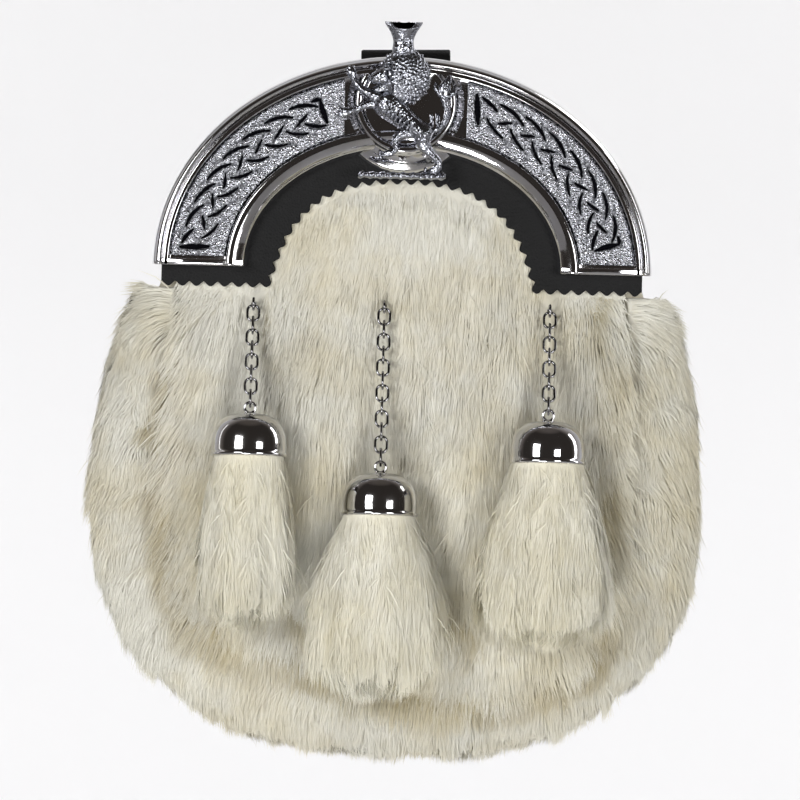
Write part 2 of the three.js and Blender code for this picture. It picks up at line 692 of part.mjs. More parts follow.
const LION_LIMBS = [
  // Trunk, from the chest to the haunch
  [row(-8, 60, 3, 2, 2), row(-6, 57, 5.2, 3, 2.4), row(-1, 52.5, 4, 2.8, 2.4), row(4, 48.5, 3.2, 2.6, 2.4),
    row(8, 45.5, 4.2, 3, 2.4), row(10, 43.5, 2.5, 2, 2)],
  // Muzzle and lower jaw
  [row(-8, 64, 4, 3, 3), row(-12, 63, 2.8, 2.4, 2.6), row(-13.6, 62.6, 1.6, 1.4, 2.2)],
  [row(-8, 60.5, 2.4, 2, 2.4), row(-12.2, 59.2, 1.2, 1.2, 2)],
  // Upper foreleg and paw
  [row(-7, 56.5, 2.2, 2, 2.4), row(-13, 58.4, 1.7, 1.7, 2), row(-16.8, 60.6, 1.5, 1.5, 1.6),
    row(-19, 65, 1.4, 1.4, 1.4), row(-19.8, 67, 2.4, 1.6, 1.4), row(-20.6, 69, 1, 0.8, 1.2)],
  // Lower foreleg and paw
  [row(-6, 54.5, 2.2, 2, 2.2), row(-12, 54, 1.6, 1.6, 1.8), row(-17, 52.4, 1.4, 1.4, 1.4),
    row(-20.4, 52, 2.2, 1.5, 1.2), row(-22.6, 52.6, 0.9, 0.8, 1)],
  // Standing hind leg down to the wreath
  [row(8, 47, 3.6, 3, 2.6), row(6.2, 41.5, 3, 2.6, 2.4), row(10.6, 38, 1.7, 1.8, 2), row(12, 34.6, 1.6, 1.6, 1.8),
    row(9.4, 32.8, 2, 1.6, 1.6), row(7, 32.4, 1, 1, 1.4)],
  // Raised hind leg
  [row(6, 46, 2.6, 2.2, 2.2), row(0, 45, 2.2, 2, 2), row(-2.6, 42, 1.5, 1.5, 1.6), row(-1.6, 39, 1.3, 1.3, 1.4),
    row(-5, 37.8, 1.7, 1.4, 1.2), row(-8, 38.2, 0.8, 0.8, 1)],
  // Tail and tuft
  [row(9, 46, 1.2, 1.2, 1.4), row(13.4, 49, 1.1, 1.2, 1.4), row(14, 54, 1.1, 1.2, 1.4), row(12.6, 58, 1.4, 1.2, 1.4),
    row(14.2, 62, 2.6, 1.4, 1.4), row(15.6, 65.4, 1.4, 1, 1.2), row(16.4, 67.4, 0.4, 0.5, 1)],
];
const MANE = { x: -2.9, z: 62.6, radius: 10.4, deep: 4.6, locks: 6 };
const CROWN = { x: -1.3, sides: 7 };
const WREATH = { left: -15.6, right: 13.8, z: 31.3, radius: 1.5, twists: 7, sides: 5 };

function mane() {
  const head = new THREE.SphereGeometry(MANE.radius, 9, 5);
  head.rotateX(Math.PI / 2);
  head.scale(1, MANE.deep / MANE.radius, 1);
  head.translate(MANE.x, BADGE_REAR - 1.6, MANE.z);
  const locks = [];
  for (let k = 0; k < MANE.locks; k++) {
    const angle = mix(-2.2, 1, k / (MANE.locks - 1));
    const [c, s] = [Math.cos(angle), Math.sin(angle)];
    const at = (reach) => [MANE.x + c * reach, MANE.z + s * reach];
    const [ax, az] = at(MANE.radius - 3);
    const [bx, bz] = at(MANE.radius + 0.4);
    const [tipX, tipZ] = at(MANE.radius + 2.4);
    locks.push(
      limb([row(ax, az, 2.6, 2.2, 2), row(bx, bz, 2, 1.6, 1.6), row(tipX - s, tipZ + c, 0.5, 0.6, 1)]),
    );
  }
  return join(head, ...locks);
}

// An open crown: a flared cup with a hollow top.
function crown() {
  const profile = [
    [0, 72],
    [3.6, 72],
    [3.6, 78.6],
    [6.3, 82.9],
    [5.5, 83.2],
    [0, 79.8],
  ];
  const cup = lathe(profile, CROWN.sides);
  cup.rotateX(Math.PI / 2);
  cup.scale(1, 0.7, 1);
  cup.translate(CROWN.x, BADGE_REAR - 2.6, 0);
  return cup;
}

// The wreath that the lion stands on: a bar of twisted silk, a bead for each twist.
function wreath() {
  const { left, right, z, radius, twists, sides } = WREATH;
  const profile = [[0, left]];
  for (let k = 0; k < twists; k++) {
    const start = mix(left, right, k / twists);
    const end = mix(left, right, (k + 1) / twists);
    profile.push([radius * 0.72, start], [radius, (start + end) / 2]);
  }
  profile.push([radius * 0.72, right], [0, right]);
  const bar = lathe(profile, sides);
  bar.rotateZ(-Math.PI / 2);
  bar.translate(0, BADGE_REAR - 1.2, z);
  return bar;
}

function badge() {
  const whole = join(mane(), crown(), wreath(), ...LION_LIMBS.map((rows) => limb(rows)));
  const front = new THREE.BoxGeometry(60, 20, 80);
  front.translate(0, BADGE_REAR - 10, 57);
  return common(whole, front);
}

// A ring standing in x and z, stretched to an oval by moving its upper and lower halves apart.
function ovalRing(halfWidth, halfHeight, wire, segments) {
  const ring = new THREE.TorusGeometry(halfWidth, wire, 5, segments);
  ring.rotateX(Math.PI / 2);
  ring.rotateY(Math.PI / segments);
  const corners = ring.getAttribute("position");
  for (let i = 0; i < corners.count; i++) {
    const z = corners.getZ(i);
    corners.setZ(i, z + Math.sign(z) * (halfHeight - halfWidth));
  }
  return ring;
}

function eyeRing() {
  return ovalRing(EYE.radius, EYE.radius, EYE.wire, 10);
}

// The eyelet: a flange against the hide, a shank through the fur and an eye at its end.
function eyelet(shank) {
  const flange = new THREE.CylinderGeometry(EYELET.flange, EYELET.flange, EYELET.flangeThick, 6);
  flange.translate(0, shank - EYELET.flangeThick / 2, 0);
  const stem = new THREE.CylinderGeometry(EYELET.stem, EYELET.stem, shank - EYE.radius, 5);
  stem.translate(0, (shank + EYE.radius - EYELET.flangeThick) / 2, 0);
  const eye = eyeRing();
  eye.rotateZ(Math.PI / 2);
  return join(flange, stem, eye);
}

function bellCap() {
  const { radius, height, wall: thick, sides } = BELL;
  const profile = [
    [0, 0],
    [0.5 * radius, -0.7],
    [0.84 * radius, -3.6],
    [radius, -8.6],
    [radius, -height],
    [radius - thick, -height],
    [radius - thick, -8.8],
    [0.82 * radius - thick, -4.3],
    [0, -thick - 0.4],
  ];
  const cap = lathe(profile, sides);
  cap.rotateX(Math.PI / 2);
  cap.translate(0, 0, -BELL_SEAT);
  return join(cap, eyeRing());
}

// Tassel fur: a head inside the cap, then locks that flare and end in points.
const TASSEL_ROWS = [
  { down: 0.05, flare: 0.02, wave: 0.02, tip: 0 },
  { down: 0.24, flare: 0.4, wave: 0.05, tip: 0 },
  { down: 0.56, flare: 0.86, wave: 0.07, tip: 0.02 },
  { down: 0.78, flare: 1, wave: 0.09, tip: 0.05 },
  { down: 0.93, flare: 0.74, wave: 0.12, tip: 0.07 },
  { down: 0.9, flare: -0.5, wave: 0.02, tip: 0.01 },
];

function tasselFur({ wide, long }) {
  const sides = 16;
  const neck = BELL.radius - BELL.wall - GAP;
  const headTop = -BELL_SEAT - BELL.wall - TASSEL_HEAD_GAP;
  const mouth = -BELL_SEAT - BELL.height;
  const ring = (halfWide, halfDeep, wave, z, tip) => {
    const points = [];
    for (let i = 0; i < sides; i++) {
      const angle = (i * 2 * Math.PI) / sides;
      const lock = i % 2 ? 1 + wave : 1 - wave;
      const drop = i % 2 ? -tip : tip;
      points.push(point(halfWide * lock * Math.cos(angle), halfDeep * lock * Math.sin(angle), z + drop));
    }
    return points;
  };
  const rings = [
    ring(0.45 * neck, 0.45 * neck, 0, headTop, 0),
    ring(0.86 * neck, 0.86 * neck, 0, headTop - 4, 0),
    ring(0.98 * neck, 0.98 * neck, 0, mouth + 0.5, 0),
  ];
  for (const { down, flare, wave, tip } of TASSEL_ROWS) {
    const halfWide = mix(neck, wide / 2, flare);
    const halfDeep = mix(neck, BELL.radius + 1, flare);
    rings.push(ring(halfWide, halfDeep, wave, mouth - down * long, tip * long));
  }
  return skinned(rings);
}

// One tassel: its eyelet on the hide, its chain lying down the fur, and its cap and fur hanging plumb.
function tassel(spec) {
  const { name, x, links, bellY } = spec;
  const group = new THREE.Group();
  const hideY = wallFront(x, EYELET_Z) - 2 * GAP;
  const eyeY = furFrontY(x, EYELET_Z) - EYE.radius - 2;
  group.position.set(x, eyeY, EYELET_Z);
  const { chrome, fur } = MATERIALS;
  group.add(meshOf(`tassel_eyelet_${name}`, eyelet(hideY - eyeY), chrome));

  const reach = 2 * LINK_HANG + (links - 1) * LINK.pitch;
  const slant = Math.asin((eyeY - bellY) / reach);
  const chain = new THREE.Group();
  chain.rotation.x = -slant;
  for (let k = 0; k < links; k++) {
    const link = meshOf(
      `chain_${name}_${k + 1}`,
      ovalRing(LINK.halfWidth, LINK.halfHeight, LINK.wire, 10),
      chrome,
    );
    link.position.z = -LINK_HANG - k * LINK.pitch;
    link.rotation.z = k % 2 ? Math.PI / 2 : 0;
    chain.add(link);
  }
  group.add(chain);

  const drop = new THREE.Group();
  drop.position.set(0, -reach * Math.sin(slant), -reach * Math.cos(slant));
  drop.rotation.x = -TASSEL_LEAN;
  drop.add(meshOf(`tassel_bell_${name}`, bellCap(), chrome));
  drop.add(meshOf(`tassel_fur_${name}`, tasselFur(spec), fur));
  group.add(drop);
  return group;
}

function pouch() {
  const { chrome, silver, leather, hide, fur } = MATERIALS;
  const group = new THREE.Group();
  group.add(meshOf("cantle", cantle(), chrome));
  group.add(meshOf("knot_plaque_left", plaque(-1), silver));
  group.add(meshOf("knot_plaque_right", plaque(1), silver));
  group.add(meshOf("badge", badge(), silver));
  group.add(meshOf("leather_facing", leatherFacing(), leather));
  group.add(meshOf("front_wall", frontWall(), hide));
  group.add(meshOf("gusset_wall", gussetWall(), hide));
  group.add(meshOf("back_panel", backPanel(), leather));
  group.add(meshOf("fur_front", furFront(), fur));
  group.add(meshOf("fur_gusset", furGusset(), fur));

  const loop = meshOf("hanger_loop", hangerLoop(), leather);
  loop.position.set(0, HANG.y, HANG.z);
  loop.rotation.y = -LOOP.tilt;
  group.add(loop);

  for (const spec of TASSELS) group.add(tassel(spec));
  return group;
}

const sporran = new THREE.Group();
const body = pouch();
body.position.set(0, -HANG.y, -HANG.z);
sporran.add(body);

export default sporran;
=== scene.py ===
# %% [markdown]
# # A full-dress sporran pouch
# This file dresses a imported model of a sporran: a white fur pouch under an arched chrome cantle, with two
# knotwork plaques, a cast badge and three fur tassels on chains. Each step first says what the piece is on
# the real object, how it could be made, and why this way was chosen. Every shape is a grid of points worked
# out with numpy, in millimetres from the cantle's feet and the back face, then placed in the model's frame.

# %% Load the frame
import math

import bmesh
import bpy
import numpy as np
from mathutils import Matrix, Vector


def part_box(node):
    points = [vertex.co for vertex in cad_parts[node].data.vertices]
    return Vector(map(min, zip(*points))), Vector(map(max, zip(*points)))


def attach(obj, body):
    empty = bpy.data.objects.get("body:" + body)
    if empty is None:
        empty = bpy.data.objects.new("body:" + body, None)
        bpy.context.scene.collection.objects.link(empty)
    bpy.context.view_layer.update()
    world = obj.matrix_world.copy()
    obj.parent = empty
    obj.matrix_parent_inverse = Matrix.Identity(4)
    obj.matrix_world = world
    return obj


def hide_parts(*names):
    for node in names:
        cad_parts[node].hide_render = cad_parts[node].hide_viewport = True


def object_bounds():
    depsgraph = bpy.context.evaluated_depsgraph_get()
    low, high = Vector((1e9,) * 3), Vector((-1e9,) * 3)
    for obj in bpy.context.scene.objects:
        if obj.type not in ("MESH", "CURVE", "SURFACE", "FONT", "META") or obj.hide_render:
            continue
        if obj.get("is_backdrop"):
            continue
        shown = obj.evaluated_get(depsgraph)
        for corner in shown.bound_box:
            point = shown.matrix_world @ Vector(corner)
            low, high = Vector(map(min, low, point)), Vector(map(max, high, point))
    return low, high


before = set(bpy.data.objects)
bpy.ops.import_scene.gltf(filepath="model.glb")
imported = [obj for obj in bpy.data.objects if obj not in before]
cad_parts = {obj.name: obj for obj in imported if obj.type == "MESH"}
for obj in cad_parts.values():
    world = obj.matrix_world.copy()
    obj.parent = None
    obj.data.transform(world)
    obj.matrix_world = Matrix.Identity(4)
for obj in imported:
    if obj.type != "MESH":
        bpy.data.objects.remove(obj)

cad_low, cad_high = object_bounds()
MM = 0.001
TURN = 2 * math.pi
back_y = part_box("back_panel")[1][1]
feet_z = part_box("cantle")[0][2]
print("frame loaded:", len(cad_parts), "nodes, feet of the cantle at z", round(feet_z, 4))

# %% [markdown]
# ## Small tools
# Three helpers are used everywhere. `place` turns millimetres into the frame's metres. `net` numbers the
# squares of a grid.

# %% Placing points and building meshes
def place(x, y, z):
    """Metres in the frame from millimetres: each coordinate times 0.001, plus the back face and the feet."""
    x, y, z = np.broadcast_arrays(x, y, z)
    return np.stack([x * MM, y * MM + back_y, z * MM + feet_z], axis=-1)


def net(rows, columns, around=False):
    """Corner numbers of a grid's squares: row times columns plus column. Around joins the last column to
    the first."""
    wide = columns if around else columns - 1
    j, i = np.meshgrid(np.arange(rows - 1), np.arange(wide), indexing="ij")
    after = (i + 1) % columns
    corners = [j * columns + i, j * columns + after, (j + 1) * columns + after, (j + 1) * columns + i]
    return np.stack(corners, axis=-1).reshape(-1, 4)


def fill(mesh, points, faces):
    """Puts points and lists of faces with 3, 4 or more corners into a mesh, as flat arrays."""
    sizes = np.concatenate([np.full(len(f), f.shape[1]) for f in faces])
    corners = np.concatenate([f.ravel() for f in faces])
    mesh.vertices.add(len(points))
    mesh.vertices.foreach_set("co", points.astype(np.float32).ravel())
    mesh.loops.add(len(corners))
    mesh.loops.foreach_set("vertex_index", corners.astype(np.int32))
    mesh.polygons.add(len(sizes))
    mesh.polygons.foreach_set("loop_start", np.concatenate([[0], np.cumsum(sizes)[:-1]]).astype(np.int32))
    mesh.polygons.foreach_set("use_smooth", np.ones(len(sizes), bool))
    mesh.update(calc_edges=True)
    mesh.validate()


def build(name, points, faces, material, nodes=(), slot=None, maps=None, normals=None):
    """A piece from points in metres. Maps are numbers kept on the vertices, for its material to read."""
    points = points.reshape(-1, 3)
    mesh = bpy.data.meshes.new(name)
    fill(mesh, points, list(faces))
    if normals is not None:
        mesh.normals_split_custom_set_from_vertices(normals)
    for key, values in (maps or {}).items():
        layer = mesh.attributes.new(key, "FLOAT", "POINT")
        layer.data.foreach_set("value", np.asarray(values, np.float32).ravel())
    piece = bpy.data.objects.new(name, mesh)
    bpy.context.scene.collection.objects.link(piece)
    mesh.materials.append(material)
    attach(piece, "root")
    if nodes:
        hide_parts(*nodes)
    print(name, len(mesh.polygons), "faces")
    return piece


def ripple(x, z, size, seed, waves=9):
    """Smooth noise from about -1 to 1: a mean of plane waves about size long, with seeded ways and phases."""
    rng = np.random.default_rng(seed)
    way = rng.uniform(0, TURN, waves)
    phase = rng.uniform(0, TURN, waves)
    rate = TURN / (size * rng.uniform(0.7, 1.7, waves))
    x, z = np.asarray(x)[..., None], np.asarray(z)[..., None]
    return np.sin(rate * (x * np.cos(way) + z * np.sin(way)) + phase).sum(-1) * (1.25 / waves**0.5) / 1.4


def mix(a, b, t):
    """The value a share t of the way from a to b."""
    return a + (b - a) * t


def ease(t):
    """Half a cosine wave from 0 to 1."""
    return 0.5 - 0.5 * np.cos(np.pi * np.clip(t, 0, 1))


def rounded(corners, radius, steps=4):
    """A closed outline with rounded corners: a parabola from radius before each corner to radius after."""
    corners = np.asarray(corners, float)
    before = np.roll(corners, 1, axis=0) - corners
    after = np.roll(corners, -1, axis=0) - corners
    long_before = np.linalg.norm(before, axis=1, keepdims=True)
    long_after = np.linalg.norm(after, axis=1, keepdims=True)
    start = corners + before / long_before * np.minimum(radius, 0.45 * long_before)
    end = corners + after / long_after * np.minimum(radius, 0.45 * long_after)
    t = np.linspace(0, 1, steps)[None, :, None]
    curve = (1 - t) ** 2 * start[:, None] + 2 * t * (1 - t) * corners[:, None] + t**2 * end[:, None]
    return curve.reshape(-1, corners.shape[1])


def through(rows, steps):
    """A smooth curve through rows of numbers: each stretch is a cubic with the slopes of its neighbours."""
    rows = np.asarray(rows, float)
    ends = np.vstack([2 * rows[0] - rows[1], rows, 2 * rows[-1] - rows[-2]])
    place_on = np.linspace(0, len(rows) - 1, steps)
    k = np.minimum(place_on.astype(int), len(rows) - 2)
    t = (place_on - k)[:, None]
    a, b, c, d = ends[k], ends[k + 1], ends[k + 2], ends[k + 3]
    return 0.5 * (2 * b + (c - a) * t + (2 * a - 5 * b + 4 * c - d) * t**2 + (3 * b - a - 3 * c + d) * t**3)


def merged(shapes):
    """Several shapes as one: points in a row, and each shape's faces counted on from the points before it."""
    counts = np.cumsum([0] + [len(points) for points, _ in shapes])
    faces = [f + start for (_, lists), start in zip(shapes, counts) for f in lists]
    return np.concatenate([points for points, _ in shapes]), faces


def border_of(rows, columns):
    """The numbers of a grid's border points, once round: down, to the right, up and back to the left."""
    ids = np.arange(rows * columns).reshape(rows, columns)
    return np.concatenate([ids[:, 0], ids[-1, 1:], ids[-2::-1, -1], ids[0, -2:0:-1]])


def closed_wall(front, rear):
    """Two grids of points in millimetres as one closed shape: front, rear and a strip round their borders."""
    rows, columns = front.shape[:2]
    border = border_of(rows, columns)
    after = np.roll(border, -1)
    count = rows * columns
    sides = np.stack([border, after, after + count, border + count], axis=-1)
    points = np.concatenate([front.reshape(-1, 3), rear.reshape(-1, 3)])
    return place(*points.T), [net(rows, columns), net(rows, columns)[:, ::-1] + count, sides]


def flat_backed(front, rear):
    """A grid of points in millimetres with a flat rear of strips, and a many-cornered face at each end."""
    rows, columns = front.shape[:2]
    border = border_of(rows, columns)
    behind = np.arange(len(border)) + rows * columns
    sides = np.stack([border, np.roll(border, -1), np.roll(behind, -1), behind], axis=-1)
    upper, lower = behind[-np.arange(1, columns - 1)], behind[rows + np.arange(columns - 2)]
    strips = np.stack([upper[:-1], lower[:-1], lower[1:], upper[1:]], axis=-1)
    left = np.concatenate([behind[:rows], lower[:1], upper[:1]])
    right = np.concatenate([behind[rows + columns - 2:2 * rows + columns - 2], upper[-1:], lower[-1:]])
    points = np.concatenate([front.reshape(-1, 3), rear.reshape(-1, 3)[border]])
    return place(*points.T), [net(rows, columns), sides, strips, left[None], right[None]]


def over(surface, columns, rows):
    """The points of a surface at an even grid of u (along a row) and v (down the rows)."""
    u, v = np.meshgrid(np.linspace(0, 1, columns), np.linspace(0, 1, rows))
    return surface(u, v)


def face_outwards(piece):
    """Recalculates a closed shape's normals so that all of them point out."""
    work = bmesh.new()
    work.from_mesh(piece.data)
    bmesh.ops.remove_doubles(work, verts=work.verts, dist=1e-7)
    bmesh.ops.recalc_face_normals(work, faces=work.faces)
    work.to_mesh(piece.data)
    work.free()


def blurred(values, edges, count, rounds):
    """Each vertex's value averaged with its neighbours', several times over."""
    degree = np.bincount(edges.ravel(), minlength=count)[:, None] + 1
    for _ in range(rounds):
        total = values.copy()
        np.add.at(total, edges[:, 0], values[edges[:, 1]])
        np.add.at(total, edges[:, 1], values[edges[:, 0]])
        values = total / degree
    return values


def keep_hollows(piece, rounds, depth):
    """Stores how far each vertex lies below the mean of its surroundings, as a share of a depth in mm."""
    mesh = piece.data
    count = len(mesh.vertices)
    points = np.empty(count * 3, np.float32)
    mesh.vertices.foreach_get("co", points)
    normals = np.empty(count * 3, np.float32)
    mesh.vertices.foreach_get("normal", normals)
    edges = np.empty(len(mesh.edges) * 2, np.int32)
    mesh.edges.foreach_get("vertices", edges)
    points, normals, edges = points.reshape(-1, 3), normals.reshape(-1, 3), edges.reshape(-1, 2)
    middle = blurred(points.astype(float), edges, count, rounds)
    hollow = ((middle - points) * normals).sum(1) / (depth * MM)
    layer = mesh.attributes.new("hollow", "FLOAT", "POINT")
    layer.data.foreach_set("value", np.clip(0.5 + 0.5 * hollow, 0, 1).astype(np.float32))


# %% [markdown]
# ## Shader groups
# Several finishes share an effect, so each effect is one node group with named sockets: `pebble` gives the
# raised cells of leather grain or of granulated silver, `smudge` a soft patchy mask for handling marks, and
# `patina` mixes a dark and a bright colour by how deep a place lies. Groups only put out values and colours,
# and each material keeps its own Principled shader.

# %% Node helpers and the three groups
def linear(red, green, blue):
    """Linear colour from 0 to 255 display values: the standard curve, as a power of 2.2."""
    return tuple((c / 255) ** 2.2 for c in (red, green, blue)) + (1.0,)


def new_group(name, inputs, outputs):
    """An empty shader group with float, colour and vector sockets."""
    group = bpy.data.node_groups.new(name, "ShaderNodeTree")
    kinds = {"value": "NodeSocketFloat", "colour": "NodeSocketColor", "vector": "NodeSocketVector"}
    for socket, kind in inputs.items():
        group.interface.new_socket(socket, in_out="INPUT", socket_type=kinds[kind])
    for socket, kind in outputs.items():
        group.interface.new_socket(socket, in_out="OUTPUT", socket_type=kinds[kind])
    return group, group.nodes.new("NodeGroupInput"), group.nodes.new("NodeGroupOutput")


def node(tree, kind, settings=None, **inputs):
    """A node with some settings, and its sockets set to values or linked to other sockets."""
    made = tree.nodes.new("ShaderNode" + kind)
    for key, value in (settings or {}).items():
        setattr(made, key, value)
    for key, value in inputs.items():
        socket = made.inputs[int(key[1:])] if key[0] == "_" else made.inputs[key.replace("_", " ")]
        if isinstance(value, bpy.types.NodeSocket):
            tree.links.new(value, socket)
        else:
            socket.default_value = value
    return made


def math_node(tree, operation, a, b):
    """The result of one operation on two values or sockets."""
    return node(tree, "Math", {"operation": operation, "use_clamp": False}, _0=a, _1=b).outputs[0]


def ranged(tree, value, source=(0.0, 1.0), result=(0.0, 1.0), kind="LINEAR"):
    """A value moved from its source range to its result range, in a straight line or with soft ends."""
    made = node(tree, "MapRange", {"interpolation_type": kind}, Value=value, From_Min=source[0],
                From_Max=source[1], To_Min=result[0], To_Max=result[1])
    return made.outputs[0]


def colour_mix(tree, share, first, second, blend="MIX"):
    """The first colour where the share is 0, and the second, or its blend with the first, where it is 1."""
    settings = {"data_type": "RGBA", "blend_type": blend}
    return node(tree, "Mix", settings, _0=share, _6=first, _7=second).outputs[2]


def make_pebble():
    """Height of packed round grains: one minus the distance to the nearest seed, plus a little fine noise."""
    group, entry, exit_node = new_group("pebble", {"Vector": "vector", "Scale": "value"}, {"Height": "value"})
    cells = node(group, "TexVoronoi", {"feature": "SMOOTH_F1"}, Vector=entry.outputs[0],
                 Scale=entry.outputs[1], Smoothness=0.4, Randomness=0.9)
    fine = node(group, "TexNoise", Vector=entry.outputs[0], Scale=2400.0, Detail=2.0)
    grains = math_node(group, "SUBTRACT", 1.0, cells.outputs["Distance"])
    height = math_node(group, "ADD", grains, math_node(group, "MULTIPLY", fine.outputs[0], 0.25))
    group.links.new(height, exit_node.inputs[0])
    return group


def make_smudge():
    """A patchy mask: detailed noise, stretched to fill 0 to 1."""
    group, entry, exit_node = new_group("smudge", {"Vector": "vector", "Scale": "value"}, {"Mask": "value"})
    wide = node(group, "TexNoise", Vector=entry.outputs[0], Scale=entry.outputs[1], Detail=6.0,
                Roughness=0.62)
    group.links.new(ranged(group, wide.outputs[0], (0.35, 0.68)), exit_node.inputs[0])
    return group


def make_patina():
    """Dark in the hollows and bright on the relief: a ramp of the depth, broken up by fine noise."""
    sockets = {"Vector": "vector", "Depth": "value", "Dark": "colour", "Bright": "colour"}
    group, entry, exit_node = new_group("patina", sockets, {"Color": "colour", "Mask": "value"})
    fine = node(group, "TexNoise", Vector=entry.outputs[0], Scale=900.0, Detail=3.0)
    broken = math_node(group, "ADD", entry.outputs[1], math_node(group, "MULTIPLY", fine.outputs[0], 0.3))
    mask = ranged(group, broken, (0.66, 1.0), kind="SMOOTHSTEP")
    colour = colour_mix(group, mask, entry.outputs[3], entry.outputs[2])
    group.links.new(colour, exit_node.inputs[0])
    group.links.new(mask, exit_node.inputs[1])
    return group


PEBBLE, SMUDGE, PATINA = make_pebble(), make_smudge(), make_patina()
print("shader groups:", [g.name for g in (PEBBLE, SMUDGE, PATINA)])


def new_material(name, **values):
    """A material and its tree, with constant values set on the Principled shader's own sockets."""
    made = bpy.data.materials.new(name)
    made.use_nodes = True
    shader = made.node_tree.nodes["Principled BSDF"]
    for key, value in values.items():
        shader.inputs[key.replace("_", " ")].default_value = value
    return made, made.node_tree, shader


def use_group(tree, group, **inputs):
    """A node that runs one of the shared groups."""
    return node(tree, "Group", {"node_tree": group}, **inputs)


def bump(tree, shader, height, strength, distance):
    """A Bump node with its height linked and its distance in metres, feeding the shader's normal."""
    made = node(tree, "Bump", Strength=strength, Distance=distance, Height=height)
    tree.links.new(made.outputs[0], shader.inputs["Normal"])


# %% [markdown]
# ## Metals and leather
# Chrome plate is a mirror with a few handling marks, so its colour is nearly even and its roughness is low
# and patchy. The plaques and the badge are antiqued: black is left in the hollows and rubbed off the relief,
# and on the plaques painted shade is added to that black. Leather is a dark semi-gloss skin with small
# pebbled grain.

# %% Chrome, antiqued silver, leather and hide materials
def chrome_material(name, clean, filmed):
    """Mirror plate: roughness 0.035 where it is clean and 0.13 under a patchy film, and a very fine bump."""
    made, tree, shader = new_material(name, Metallic=1.0, IOR=2.2)
    where = node(tree, "TexCoord").outputs["Object"]
    film = use_group(tree, SMUDGE, Vector=where, Scale=55.0).outputs[0]
    tree.links.new(colour_mix(tree, film, clean, filmed), shader.inputs["Base Color"])
    tree.links.new(ranged(tree, film, result=(0.035, 0.13)), shader.inputs["Roughness"])
    ripples = node(tree, "TexNoise", Vector=where, Scale=160.0, Detail=2.0)
    bump(tree, shader, ripples.outputs[0], 0.12, 0.0004)
    return made


def silver_material(name, grain, grain_size, bright):
    """Antiqued casting: patina, with painted shade on the plaques, by the hollow map, granulated by the
    pebble group, dull where it is dark.
    """
    made, tree, shader = new_material(name, Metallic=1.0)
    where = node(tree, "TexCoord").outputs["Object"]
    hollow = node(tree, "Attribute", {"attribute_name": "hollow"}).outputs["Fac"]
    mixed = use_group(tree, PATINA, Vector=where, Depth=hollow, Dark=linear(24, 24, 28), Bright=bright)
    tree.links.new(mixed.outputs["Color"], shader.inputs["Base Color"])
    tree.links.new(ranged(tree, mixed.outputs["Mask"], result=(0.2, 0.6)), shader.inputs["Roughness"])
    pebbles = use_group(tree, PEBBLE, Vector=where, Scale=grain_size)
    bump(tree, shader, pebbles.outputs[0], grain, 0.0006)
    return made


def leather_material(name, dark, light, grain_size, strength, roughness):
    """Skin grain: pebbled height, lighter where it is rubbed, and a rougher shine on the rubbed patches."""
    made, tree, shader = new_material(name, Specular_IOR_Level=0.28)
    where = node(tree, "TexCoord").outputs["Object"]
    rubbed = use_group(tree, SMUDGE, Vector=where, Scale=70.0).outputs[0]
    tree.links.new(colour_mix(tree, rubbed, dark, light), shader.inputs["Base Color"])
    rough = ranged(tree, rubbed, result=(roughness, roughness + 0.16))
    tree.links.new(rough, shader.inputs["Roughness"])
    grain = use_group(tree, PEBBLE, Vector=where, Scale=grain_size)
    bump(tree, shader, grain.outputs[0], strength, 0.0005)
    return made


CHROME = chrome_material("chrome_plate", linear(214, 214, 219), linear(196, 194, 192))
WORN_CHROME = chrome_material("worn_chrome", linear(176, 176, 180), linear(128, 126, 124))
GRANULATED = silver_material("granulated_silver", 0.9, 1500.0, linear(204, 206, 213))
CAST_SILVER = silver_material("cast_silver", 0.35, 1100.0, linear(158, 160, 168))
BLACK_LEATHER = leather_material("black_leather", linear(12, 12, 13), linear(24, 24, 25), 1400.0, 0.35, 0.5)
HIDE = leather_material("raw_hide", linear(214, 208, 188), linear(228, 222, 204), 900.0, 0.25, 0.7)
THREAD = leather_material("waxed_thread", linear(30, 29, 28), linear(58, 56, 54), 5000.0, 0.5, 0.5)
MADE = (CHROME, WORN_CHROME, GRANULATED, CAST_SILVER, BLACK_LEATHER, HIDE, THREAD)
print("materials:", [m.name for m in MADE])

# %% [markdown]
# ## Fur material
# Rabbit hair is cream-white at its tips and darker and yellower near the skin, and no two hairs are quite
# alike. Every strand keeps two numbers on its vertices: `tip`, a half at the root, 1 at the point and less
# in the folds, where the lower value is painted shade along with the yellower roots a fold lays open, and
# `tone`, a random number that it partly shares with its lock. Broad noise over the object adds the yellowish
# patches of an old pelt.

# %% Fur
def fur_material(name, root, tip, patch):
    """Hair colour: root to tip by the tip map, tinted in broad patches, then scaled by tone."""
    made, tree, shader = new_material(name, Roughness=0.62, Specular_IOR_Level=0.25, Sheen_Weight=0.35,
                                      Sheen_Roughness=0.5)
    where = node(tree, "TexCoord").outputs["Object"]
    along = node(tree, "Attribute", {"attribute_name": "tip"}).outputs["Fac"]
    tone = node(tree, "Attribute", {"attribute_name": "tone"}).outputs["Fac"]
    # Where the tip map is lowered in the folds, the hair takes more of the root colour: painted shade.
    hair = colour_mix(tree, ranged(tree, along, (-0.15, 0.8), kind="SMOOTHSTEP"), root, tip)
    broad = node(tree, "TexNoise", Vector=where, Scale=26.0, Detail=4.0, Roughness=0.6)
    spots = ranged(tree, broad.outputs[0], (0.42, 0.72), (0.0, 0.75))
    tinted = colour_mix(tree, spots, hair, patch, "MULTIPLY")
    light = ranged(tree, tone, result=(0.9, 1.04))
    colour = node(tree, "VectorMath", {"operation": "SCALE"}, _0=tinted, Scale=light)
    tree.links.new(colour.outputs[0], shader.inputs["Base Color"])
    return made


